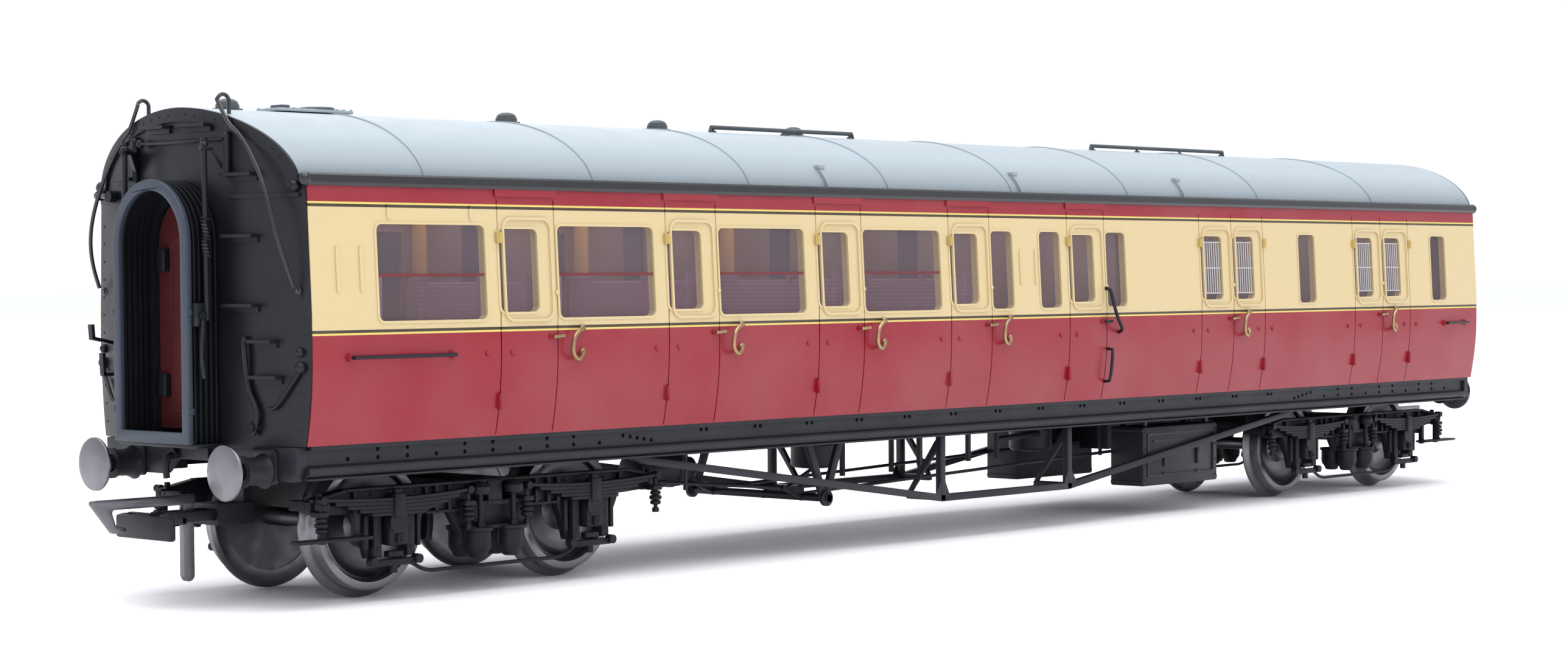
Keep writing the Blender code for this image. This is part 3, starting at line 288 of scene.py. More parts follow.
def body_paint(name):
    """Crimson and cream with black and yellow lining, by height."""
    made = Shader(name)
    ramp = made.node("ShaderNodeValToRGB")
    ramp.color_ramp.interpolation = "CONSTANT"
    stops = ramp.color_ramp.elements
    stops.remove(stops[1])
    for number, (z, tone) in enumerate(LIVERY):
        share = (z - BOTTOM) / (CANTRAIL - BOTTOM)
        stop = stops[0] if number == 0 else stops.new(share)
        stop.position = share
        stop.color = (*shade(tone), 1)
    made.link(made.height(BOTTOM, CANTRAIL), ramp.inputs["Fac"])
    dust = made.ranged(made.noise(90, 5), 0.0, 0.05)
    made.tint(made.blend(dust, ramp.outputs["Color"], DUST))
    made.gloss(made.noise(300, 3), 0.27, 0.36)
    made.shine(0.32, 0.05)
    made.main.inputs["Coat Roughness"].default_value = 0.25
    made.bump(made.noise(700, 2), 0.25, 0.012)
    return made.material


def glazing(name):
    """Clear plastic with a warm tint."""
    made = Shader(name)
    tone = shade("glass")
    made.tint(made.blend(made.ranged(made.noise(60, 2), 0, 1), tone, scaled(tone, 1.25)))
    made.set(roughness=0.05, alpha=0.2)
    made.shine(0.6)
    made.bump(made.noise(60, 2), 0.15, 0.02)
    return made.material


def upholstery(name):
    """A woven cloth: two crossing threads over its colour."""
    made = Shader(name)
    waves = []
    for direction in ("X", "Z"):
        wave = made.node("ShaderNodeTexWave", bands_direction=direction, scale=650, distortion=0.4)
        made.link(made.place, wave.inputs["Vector"])
        waves.append(wave.outputs["Fac"])
    cross = made.node("ShaderNodeMath", operation="MULTIPLY")
    for socket, wave in zip(cross.inputs, waves):
        made.link(wave, socket)
    tone = shade("seat")
    made.tint(made.blend(cross.outputs[0], tone, scaled(tone, 1.5)))
    made.set(roughness=0.9)
    made.main.inputs["Sheen Weight"].default_value = 0.3
    made.bump(cross.outputs[0], 0.4, 0.05)
    return made.material


def timber(name, tone):
    """Grained wood."""
    made = Shader(name)
    grain = made.noise(160, 6, (1, 1, 0.12))
    made.tint(made.blend(made.ranged(grain, 0, 1), scaled(tone, 0.7), tone))
    made.gloss(grain, 0.35, 0.5)
    made.bump(grain, 0.2, 0.02)
    return made.material


def turned_metal(name, tone, roughness, scratch=0.02):
    """Bare turned metal with fine rings and patches of duller film."""
    made = Shader(name)
    film = made.ranged(made.noise(140, 5), 0, 1)
    made.tint(made.blend(film, tone, scaled(tone, 0.72)))
    made.gloss(made.noise(420, 4), roughness - 0.08, roughness + 0.1)
    made.set(metallic=1.0)
    made.bump(made.noise(1500, 2), 0.3, scratch)
    return made.material


def black(share):
    return scaled(shade("black"), share)


MAKERS = {
    "coach_body_paint": body_paint,
    "coach_roof_paint": roof_paint,
    "window_glazing": glazing,
    "seat_cloth": upholstery,
    "coach_end_black": lambda name: painted(name, black(1), 0.36, 0.27, mottle=0.18),
    "underframe_black": lambda name: painted(name, black(1.5), 0.45, 0.32, mottle=0.22),
    "bogie_plastic": lambda name: painted(name, black(1.1), 0.5, 0.22, mottle=0.25),
    "coupling_plastic": lambda name: painted(name, black(1.3), 0.45, 0.28, mottle=0.1),
    "gangway_black": lambda name: painted(name, black(0.7), 0.5, 0.2, mottle=0.15),
    "gutter_black": lambda name: painted(name, black(0.8), 0.26, 0.5, mottle=0.1, coat=0.08),
    "gangway_rubber": lambda name: painted(name, shade("rubber"), 0.5, mottle=0.15),
    # painted shade: near-black with almost no shine, darker than the solebar, like the shaded holes in its face
    "rivet_black": lambda name: painted(name, (0.002, 0.002, 0.003), 0.5, 0.05),
    "vent_grey": lambda name: painted(name, scaled(shade("roof"), 0.2), 0.45, 0.3, mottle=0.15),
    "hinge_buff": lambda name: painted(name, (0.40, 0.29, 0.095), 0.4, 0.3),
    "curtain_cloth": lambda name: painted(name, (0.075, 0.08, 0.13), 0.8, 0.2),
    "end_door_paint": lambda name: painted(name, shade("door"), 0.35),
    "luggage_bar_paint": lambda name: painted(name, shade("bars"), 0.35, mottle=0.04),
    "window_bar_paint": lambda name: painted(name, (0.13, 0.012, 0.016), 0.4),
    "ceiling_paint": lambda name: painted(name, (0.55, 0.52, 0.48), 0.6, mottle=0.05),
    "grab_brass": lambda name: turned_metal(name, shade("brass"), 0.34),
    "buffer_steel": lambda name: turned_metal(name, shade("steel"), 0.3),
    "wheel_steel": lambda name: turned_metal(name, shade("tyre"), 0.36),
    "wheel_rim_steel": lambda name: turned_metal(name, scaled(shade("tyre"), 1.15), 0.3),
    "partition_wood": lambda name: timber(name, shade("wood")),
    # painted shade and reflection: a dark grey-brown copy of the tan wood, standing in for the shade inside and
    # the glass's grey reflection
    "panel_wood": lambda name: timber(name, (0.26, 0.19, 0.185)),
    "floor_brown": lambda name: timber(name, (0.30, 0.2, 0.14)),
}
# the CAD material of each of these finishes, the rest being moulded black, in dicts that are built and not kept
dict.fromkeys(("coach_body_paint", "hinge_buff"), "crimson_and_cream_body")
dict.fromkeys(("wheel_steel", "wheel_rim_steel"), "blackened_steel")
dict.fromkeys(("seat_cloth", "partition_wood", "floor_brown", "panel_wood", "curtain_cloth",
                            "ceiling_paint"), "interior_brown")


def finish_of(name):
    return bpy.data.materials.get(name) or MAKERS[name](name)


# ---- shapes ----
def arc(u, v, radius, start, stop, steps=6):
    """Points of an arc, from one angle to another in degrees."""
    turns = [math.radians(start + (stop - start) * i / steps) for i in range(steps + 1)]
    return [(u + radius * math.cos(t), v + radius * math.sin(t)) for t in turns]


def rounded(low, high, radius, steps=5):
    """A rectangle with round corners."""
    (a, b), (c, d) = low, high
    r = min(radius, (c - a) / 2 - 1e-4, (d - b) / 2 - 1e-4)
    return (arc(c - r, b + r, r, -90, 0, steps) + arc(c - r, d - r, r, 0, 90, steps)
            + arc(a + r, d - r, r, 90, 180, steps) + arc(a + r, b + r, r, 180, 270, steps))


def arched(half, tall, foot, steps=20):
    """An upright outline with a flat foot and a round top."""
    return [(half, foot)] + arc(0, foot + tall - half, half, 0, 180, steps) + [(-half, foot)]


def smoothed(points, steps=6):
    """A smooth curve through the given points."""
    found = []
    last = len(points) - 1
    for i in range(last):
        before, a, b, after = (Vector(points[max(0, min(last, j))]) for j in (i - 1, i, i + 1, i + 2))
        for k in range(steps):
            t = k / steps
            found.append(0.5 * (2 * a + (b - before) * t + (2 * before - 5 * a + 4 * b - after) * t**2
                                + (3 * a - before - 3 * b + after) * t**3))
    return found + [Vector(points[-1])]


class Shape:
    """Solids gathered into one mesh, in millimetres."""

    def __init__(self):
        self.mesh = bmesh.new()

    def take(self, other):
        """Adds another bmesh to this one."""
        data = bpy.data.meshes.new("part")
        other.to_mesh(data)
        other.free()
        self.mesh.from_mesh(data)
        bpy.data.meshes.remove(data)
        return self

    def box(self, low, high, bevel=0.0):
        """A block between two opposite corners, in any order."""
        part = bmesh.new()
        bmesh.ops.create_cube(part, size=1)
        spans = [max(abs(b - a), 1e-3) for a, b in zip(low, high)]
        bmesh.ops.scale(part, vec=spans, verts=part.verts)
        bmesh.ops.translate(part, vec=[(a + b) / 2 for a, b in zip(low, high)], verts=part.verts)
        if bevel:
            soften(part, min(bevel, min(spans) * 0.45))
        return self.take(part)

    def slab(self, x, half, y, z, bevel=0.0):
        """A block centred on x, between two values of y and two of z."""
        return self.box((x - half, y[0], z[0]), (x + half, y[1], z[1]), bevel)

    def rod(self, a, b, radius, steps=12, end_radius=None):
        a, b = Vector(a), Vector(b)
        along = b - a
        turn = Vector((0, 0, 1)).rotation_difference(along).to_matrix().to_4x4()
        part = bmesh.new()
        bmesh.ops.create_cone(part, cap_ends=True, segments=steps, radius1=radius,
                              radius2=radius if end_radius is None else end_radius,
                              depth=along.length, matrix=Matrix.Translation((a + b) / 2) @ turn)
        return self.take(part)

    def ball(self, centre, radius, squash=(1, 1, 1), steps=10):
        part = bmesh.new()
        matrix = Matrix.Translation(centre) @ Matrix.Diagonal((*squash, 1))
        bmesh.ops.create_uvsphere(part, u_segments=steps, v_segments=max(4, steps // 2), radius=radius,
                                  matrix=matrix)
        return self.take(part)

    def plate(self, outlines, plane, low, high, bevel=0.0):
        """Closed outlines, later ones as holes, filled across a plane from low to high."""
        part = sheet(outlines, plane)
        shift = Vector([high - low if axis not in plane else 0 for axis in "xyz"])
        base = Vector([low if axis not in plane else 0 for axis in "xyz"])
        bmesh.ops.translate(part, vec=base, verts=part.verts)
        thicken(part, shift)
        if bevel:
            soften(part, bevel)
        return self.take(part)

    def bent(self, outlines, plane, bend, low, high, cuts=()):
        """A wall through outlines in a plane, bent to a curve that bend gives for each face."""
        part = sheet(outlines, plane)
        cut_axis = "xyz".index(plane[1] if plane == "xz" else plane[0])
        normal = [1.0 if axis == cut_axis else 0.0 for axis in range(3)]
        for cut in cuts:
            bmesh.ops.bisect_plane(part, geom=[*part.verts, *part.edges, *part.faces],
                                   plane_co=[cut * n for n in normal], plane_no=normal)
        across = "xyz".index(({*"xyz"} - {*plane}).pop())
        thicken(part, Vector([1.0 if axis == across else 0.0 for axis in range(3)]))
        for v in part.verts:
            v.co[across] = bend(v.co, high if v.co[across] > 0.5 else low)
        bmesh.ops.recalc_face_normals(part, faces=part.faces)
        return self.take(part)

    def on_side(self, outlines, side, low, high):
        """A wall on the body's side, its inner and outer faces measured outwards from the side's face."""
        return self.bent(outlines, "xz", lambda p, out: side * (side_y(p.z) + out), low, high, SIDE_CUTS)

    def on_end(self, outlines, end, low, high):
        """A wall on the body's bowed end, measured outwards from the end's face."""
        return self.bent(outlines, "yz", lambda p, out: end * (end_x(p.y) + out), low, high, END_CUTS)

    def loft(self, rings, closed=False):
        """A skin through rings of as many points each, capped at both ends unless it closes on itself."""
        part = bmesh.new()
        made = [[part.verts.new(point) for point in ring] for ring in rings]
        pairs = list(zip(made, made[1:])) + ([(made[-1], made[0])] if closed else [])
        bridged(part, pairs, len(made[0]))
        if not closed:
            part.faces.new(list(reversed(made[0])))
            part.faces.new(made[-1])
        bmesh.ops.recalc_face_normals(part, faces=part.faces)
        return self.take(part)

    def tube(self, points, radius, steps=8):
        """A round wire along points."""
        points = [Vector(p) for p in points]
        part = bmesh.new()
        rings = []
        side = None
        for i, point in enumerate(points):
            along = (points[min(i + 1, len(points) - 1)] - points[max(i - 1, 0)]).normalized()
            if side is None:
                side = along.orthogonal().normalized()
            side = (side - along * side.dot(along)).normalized()
            up = along.cross(side)
            around = [radius * (math.cos(t) * side + math.sin(t) * up)
                      for t in (2 * math.pi * k / steps for k in range(steps))]
            rings.append([part.verts.new(point + out) for out in around])
        bridged(part, zip(rings, rings[1:]), steps)
        part.faces.new(list(reversed(rings[0])))
        part.faces.new(rings[-1])
        return self.take(part)

    def turned(self, profile, origin, axis, steps=32):
        """A solid of revolution from (radius, height) points, its height along axis."""
        part = bmesh.new()
        rings = []
        for radius, height in profile:
            if radius < 1e-5:
                rings.append([part.verts.new((0, 0, height))])
            else:
                turns = [2 * math.pi * k / steps for k in range(steps)]
                rings.append([part.verts.new((radius * math.cos(t), radius * math.sin(t), height))
                              for t in turns])
        pairs = list(zip(rings, rings[1:]))
        if len(rings[0]) > 1 and len(rings[-1]) > 1:
            pairs.append((rings[-1], rings[0]))
        bridged(part, pairs, steps)
        bmesh.ops.recalc_face_normals(part, faces=part.faces)
        turn = Vector((0, 0, 1)).rotation_difference(Vector(axis)).to_matrix().to_4x4()
        bmesh.ops.transform(part, matrix=Matrix.Translation(origin) @ turn, verts=part.verts)
        return self.take(part)

    def copied(self, matrix):
        """Adds a copy of everything so far, moved by matrix."""
        part = self.mesh.copy()
        bmesh.ops.transform(part, matrix=matrix, verts=part.verts)
        if matrix.determinant() < 0:
            bmesh.ops.reverse_faces(part, faces=part.faces)
        return self.take(part)

    def moved(self, matrix):
        bmesh.ops.transform(self.mesh, matrix=matrix, verts=self.mesh.verts)
        if matrix.determinant() < 0:
            bmesh.ops.reverse_faces(self.mesh, faces=self.mesh.faces)
        return self

    def done(self, name, finish, body="coach", angle=35, replaces=()):
        """Makes the object, gives it its finish and lets it ride on its body."""
        bmesh.ops.scale(self.mesh, vec=(MM, MM, MM), verts=self.mesh.verts)
        data = bpy.data.meshes.new(name)
        self.mesh.to_mesh(data)
        self.mesh.free()
        return settled(bpy.data.objects.new(name, data), finish, body, angle, replaces)


FLIP = {"x": Matrix.Diagonal((-1, 1, 1, 1)), "y": Matrix.Diagonal((1, -1, 1, 1))}


def bridged(part, pairs, steps):
    """Faces between each pair of rings; a ring of one corner makes a fan."""
    for first, second in pairs:
        for k in range(steps):
            n = (k + 1) % steps
            corners = [first[k % len(first)], first[n % len(first)], second[n % len(second)],
                       second[k % len(second)]]
            part.faces.new(list(dict.fromkeys(corners)))


def soften(part, width, segments=2):
    """Rounds the sharp edges of a solid."""
    sharp = [e for e in part.edges if len(e.link_faces) == 2 and e.calc_face_angle(0) > math.radians(30)]
    bmesh.ops.bevel(part, geom=sharp, offset=width, segments=segments, affect="EDGES", profile=0.5)


def sheet(outlines, plane):
    """A flat sheet through outlines in a plane such as xz, with the later ones as holes."""
    part = bmesh.new()
    axes = ["xyz".index(letter) for letter in plane]
    points = []
    for outline in outlines:
        for u, v in outline:
            spot = [0.0, 0.0, 0.0]
            spot[axes[0]], spot[axes[1]] = u, v
            points.append(part.verts.new(spot))
    flat = [[Vector((u, v, 0)) for u, v in outline] for outline in outlines]
    for triangle in tessellate_polygon(flat):
        part.faces.new([points[i] for i in triangle])
    return part


def thicken(part, shift):
    """Turns a sheet into a solid by sweeping it along shift."""
    swept = bmesh.ops.extrude_face_region(part, geom=list(part.faces))
    verts = [item for item in swept["geom"] if isinstance(item, bmesh.types.BMVert)]
    bmesh.ops.translate(part, vec=shift, verts=verts)
    bmesh.ops.recalc_face_normals(part, faces=part.faces)


def linked(obj):
    if obj.name not in bpy.context.scene.collection.objects:
        bpy.context.scene.collection.objects.link(obj)


def settled(obj, finish, body="coach", angle=35, replaces=()):
    """Links a finished piece, gives it its material, lets it ride on its body and hides the CAD nodes it stands
    for.
    """
    linked(obj)
    obj.data.materials.clear()
    obj.data.materials.append(finish_of(finish))
    obj.data.shade_smooth()
    obj.data.set_sharp_from_angle(angle=math.radians(angle))
    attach(obj, body)
    if replaces:
        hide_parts(*replaces)
    return obj


# ---- geometry nodes ----
def new_tree(name, *inputs):
    tree = bpy.data.node_groups.new(name, "GeometryNodeTree")
    tree.interface.new_socket("Geometry", in_out="INPUT", socket_type="NodeSocketGeometry")
    for label, kind in (*inputs, ("Material", "Material")):
        tree.interface.new_socket(label, in_out="INPUT", socket_type=f"NodeSocket{kind}")
    tree.interface.new_socket("Geometry", in_out="OUTPUT", socket_type="NodeSocketGeometry")
    return tree, tree.nodes.new("NodeGroupInput"), tree.nodes.new("NodeGroupOutput")


def join(tree, *wires):
    """Links sockets, each wire being (from node, its output, to node, its input)."""
    for source, output, target, entry in wires:
        tree.links.new(source.outputs[output], target.inputs[entry])


def on_points(tree, start, stop, shape, output):
    """Puts a shape on each point, makes the copies real and gives them the material."""
    spread = tree.nodes.new("GeometryNodeInstanceOnPoints")
    real = tree.nodes.new("GeometryNodeRealizeInstances")
    paint = tree.nodes.new("GeometryNodeSetMaterial")
    join(tree, (start, "Geometry", spread, "Points"), (shape, output, spread, "Instance"),
         (spread, "Instances", real, "Geometry"), (real, "Geometry", paint, "Geometry"),
         (start, "Material", paint, "Material"), (paint, "Geometry", stop, "Geometry"))
    return spread


def stud_tree():
    """A domed head on each point, standing along the point's own facing."""
    if "studs_on_points" in bpy.data.node_groups:
        return bpy.data.node_groups["studs_on_points"]
    tree, start, stop = new_tree("studs_on_points", ("Radius", "Float"), ("Height", "Float"))
    head = tree.nodes.new("GeometryNodeMeshUVSphere")
    head.inputs["Segments"].default_value = 8
    head.inputs["Rings"].default_value = 6
    scale = tree.nodes.new("ShaderNodeCombineXYZ")
    scale.inputs["X"].default_value = scale.inputs["Y"].default_value = 1
    facing = tree.nodes.new("GeometryNodeInputNamedAttribute")
    facing.data_type = "FLOAT_VECTOR"
    facing.inputs["Name"].default_value = "facing"
    align = tree.nodes.new("FunctionNodeAlignRotationToVector")
    align.axis = "Z"
    spread = on_points(tree, start, stop, head, "Mesh")
    join(tree, (start, "Radius", head, "Radius"), (start, "Height", scale, "Z"),
         (facing, "Attribute", align, "Vector"),
         (align, "Rotation", spread, "Rotation"), (scale, "Vector", spread, "Scale"))
    return tree


def copy_tree():
    """A copy of one shape on each point."""
    if "copies_on_points" in bpy.data.node_groups:
        return bpy.data.node_groups["copies_on_points"]
    tree, start, stop = new_tree("copies_on_points", ("Shape", "Object"))
    shape = tree.nodes.new("GeometryNodeObjectInfo")
    join(tree, (start, "Shape", shape, "Object"))
    on_points(tree, start, stop, shape, "Geometry")
    return tree


def grown(obj, tree, **values):
    """Runs a node tree on an object and keeps the result as its plain mesh."""
    linked(obj)
    modifier = obj.modifiers.new(tree.name, "NODES")
    modifier.node_group = tree
    for item in tree.interface.items_tree:
        if item.in_out == "INPUT" and item.name in values:
            modifier[item.identifier] = values[item.name]
    bpy.context.view_layer.update()
    made = bpy.data.meshes.new_from_object(obj.evaluated_get(bpy.context.evaluated_depsgraph_get()))
    obj.modifiers.remove(modifier)
    obj.data = made
    made.name = obj.name
    return obj


def studs(name, spots, radius, height, finish, body="coach"):
    """Rivet or bolt heads at (point, facing) spots."""
    data = bpy.data.meshes.new(name)
    data.from_pydata([[c * MM for c in point] for point, _ in spots], [], [])
    facing = data.attributes.new("facing", "FLOAT_VECTOR", "POINT")
    facing.data.foreach_set("vector", [c for _, normal in spots for c in normal])
    obj = bpy.data.objects.new(name, data)
    grown(obj, stud_tree(), Radius=radius * MM, Height=height, Material=finish_of(finish))
    return settled(obj, finish, body, 60)


def copies(shape, name, offsets, finish, body="coach", replaces=()):
    """A shape repeated at each offset."""
    bmesh.ops.scale(shape.mesh, vec=(MM, MM, MM), verts=shape.mesh.verts)
    pattern = bpy.data.objects.new(name + "_pattern", bpy.data.meshes.new(name + "_pattern"))
    shape.mesh.to_mesh(pattern.data)
    shape.mesh.free()
    bpy.context.scene.collection.objects.link(pattern)
    data = bpy.data.meshes.new(name)
    data.from_pydata([[c * MM for c in offset] for offset in offsets], [], [])
    obj = grown(bpy.data.objects.new(name, data), copy_tree(), Shape=pattern, Material=finish_of(finish))
    bpy.data.objects.remove(pattern)
    return settled(obj, finish, body, replaces=replaces)


# ---- the body's own curves ----
def side_y(z):
    """Half the body's width outside, at a height."""
    if z < WAIST_LOW:
        return HALF_WIDTH - TURN_UNDER * ((WAIST_LOW - z) / (WAIST_LOW - BOTTOM)) ** 2
    return HALF_WIDTH - LEAN_IN * max(0.0, z - WAIST_HIGH) / (CANTRAIL - WAIST_HIGH)


def side_tilt(z):
    """The side's outward direction at a height, as (y, z) for the +Y side."""
    rise = (side_y(z + 0.1) - side_y(z - 0.1)) / 0.2
    return Vector((0, 1, -rise)).normalized()


ROOF_HALF = side_y(CANTRAIL) - ROOF_INSET


def roof_arc(grow=0.0, steps=48):
    """The roof's section from +Y over to -Y."""
    power = 2 / SQUARENESS
    points = []
    for i in range(steps + 1):
        turn = math.pi * i / steps
        y = math.copysign(abs(math.cos(turn)) ** power, math.cos(turn)) * (ROOF_HALF + grow)
        points.append((y, ROOF_SPRING + (APEX - ROOF_SPRING + grow) * max(0.0, math.sin(turn)) ** power))
    return points


def roof_z(y):
    across = min(1.0, abs(y) / ROOF_HALF)
    return ROOF_SPRING + (APEX - ROOF_SPRING) * (1 - across**SQUARENESS) ** (1 / SQUARENESS)


def end_x(y):
    """Where the end's outer face is, across the coach."""
    return HALF + BOW * (1 - (y / HALF_WIDTH) ** 2)


def end_facing(y):
    return Vector((1, 2 * BOW * y / HALF_WIDTH**2, 0)).normalized()


def doors_of(side):
    """(hinge, lock) x of every door and leaf of a side; a pair's leaves hinge at their outer edges."""
    found = [(x, x + DOOR) for x in (*DOORS[side], GUARD_DOOR)]
    for x in LUGGAGE:
        found += [(x, x + LEAF), (x + 2 * LEAF, x + LEAF)]
    return found


def lights_of(side):
    """(low x, high x, low z, high z) of every window of a side, its lip included."""
    found = [(x, x + WINDOW, *WINDOW_Z) for x in WINDOWS[side]]
    found += [(x, x + SMALL, *WINDOW_Z) for x in SMALLS]
    found += [(x + LIGHT_INSET, x + LIGHT_INSET + DOOR_LIGHT, *LIGHT_Z) for x in (*DOORS[side], GUARD_DOOR)]
    for x in LUGGAGE:
        for leaf in (x, x + LEAF):
            found.append((leaf + LIGHT_INSET, leaf + LIGHT_INSET + LUGGAGE_LIGHT, *LIGHT_Z))
    return [(a - 0.35, b + 0.1, c - 0.15, d + 0.15) for a, b, c, d in found]


# ---- the body ----
def frame_ring(low, high, width, corner):
    """A window-like frame: its outer and inner outlines."""
    outer = rounded([low[0] - width, low[1] - width], [high[0] + width, high[1] + width], corner + width)
    return [outer, rounded(low, high, corner)]


def side_label(side):
    return "compartment_side" if side < 0 else "corridor_side"


class COACH_OT_sides(Operator):
    """Painted sides with door gaps, window frames, beads and the raised edges over the doors"""

    bl_idname = "coach.sides"
    bl_label = "Sides"

    def execute(self, context):
        s = sizes()
        for side in SIDES:
            label = side_label(side)
            face = [(-HALF, BOTTOM), (HALF, BOTTOM), (HALF, CANTRAIL), (-HALF, CANTRAIL)]
            lights = [rounded((a, c), (b, d), s.corner) for a, b, c, d in lights_of(side)]
            gaps = []
            for x in sorted({x for pair in doors_of(side) for x in pair}):
                gaps.append([(x - s.groove / 2, BOTTOM + 0.15), (x + s.groove / 2, BOTTOM + 0.15),
                             (x + s.groove / 2, CANTRAIL - 1.2), (x - s.groove / 2, CANTRAIL - 1.2)])
            skin = Shape().on_side([face] + lights + gaps, side, -s.skin, 0)
            skin.done(f"side_skin_{label}", "coach_body_paint", replaces=["body_shell"] if side < 0 else ())
            Shape().on_side([face] + lights, side, -1.0, -s.skin).done(f"side_wall_{label}", "coach_body_paint")
            self.frames(side, label)
            self.beads(side, label)
        return {"FINISHED"}

    def frames(self, side, label):
        """The raised edges round windows and on doors, and the drip strip over each door."""
        made = Shape()
        for a, b, c, d in lights_of(side):
            ring = frame_ring((a, c), (b, d), 0.28, sizes().corner)
            made.on_side(ring, side, -0.02, 0.09)
        for hinge, lock in doors_of(side):
            a, b = min(hinge, lock), max(hinge, lock)
            ring = frame_ring((a + 0.75, 29.25), (b - 0.85, 39.75), 0.3, 1.0)
            made.on_side(ring, side, -0.02, 0.24)
            top = [(a - 0.3, 42.2), (b + 0.3, 42.2), (b + 0.3, 42.95), (a - 0.3, 42.95)]
            if (b - a) > 8:
                made.on_side([top], side, -0.02, 0.22)
        made.done(f"window_frames_{label}", "coach_body_paint")

    def beads(self, side, label):
        """Short upright beads that cover the joints of the panels."""
        spots = [(x, 32.3, 36.9) for x in (-111.8, -108.8, -1.4, 1.75)]
        spots += [(x, 39.7, 41.2) for x in (-105.0, -94.0)]
        made = Shape()
        for x, low, high in spots:
            made.on_side([rounded((x - 0.2, low), (x + 0.2, high), 0.2, 3)], side, -0.02, 0.16)
        made.done(f"panel_beads_{label}", "coach_body_paint")


def end_outline(inset=0.0):
    """The outline of the coach's end, from the foot of the +Y side round over the roof to the other foot."""
    levels = [BOTTOM, 18.5, 20.0, 22.0, 24.0, 26.0, 30.0, CANTRAIL]
    up = [(side_y(z) - inset, z) for z in levels]
    return up + roof_arc(-0.92) + [(-y, z) for y, z in reversed(up)]


STEP_IRONS = ((7.9, 12.1, 44.2), (7.9, 12.1, 38.0), (7.9, 12.1, 31.0), (11.4, 15.0, 23.8), (11.4, 14.4, 27.4),
              (1.1, 5.7, 49.35))
LAMP_IRON_Y, END_FACE = 10.0, 116.6
POST_X = 119.6


def spot_on(end):
    """A function that gives the point at y and z on an end's face, and so far out from it."""
    return lambda y, z, out=0.0: Vector((end * (end_x(y) + out), y, z))


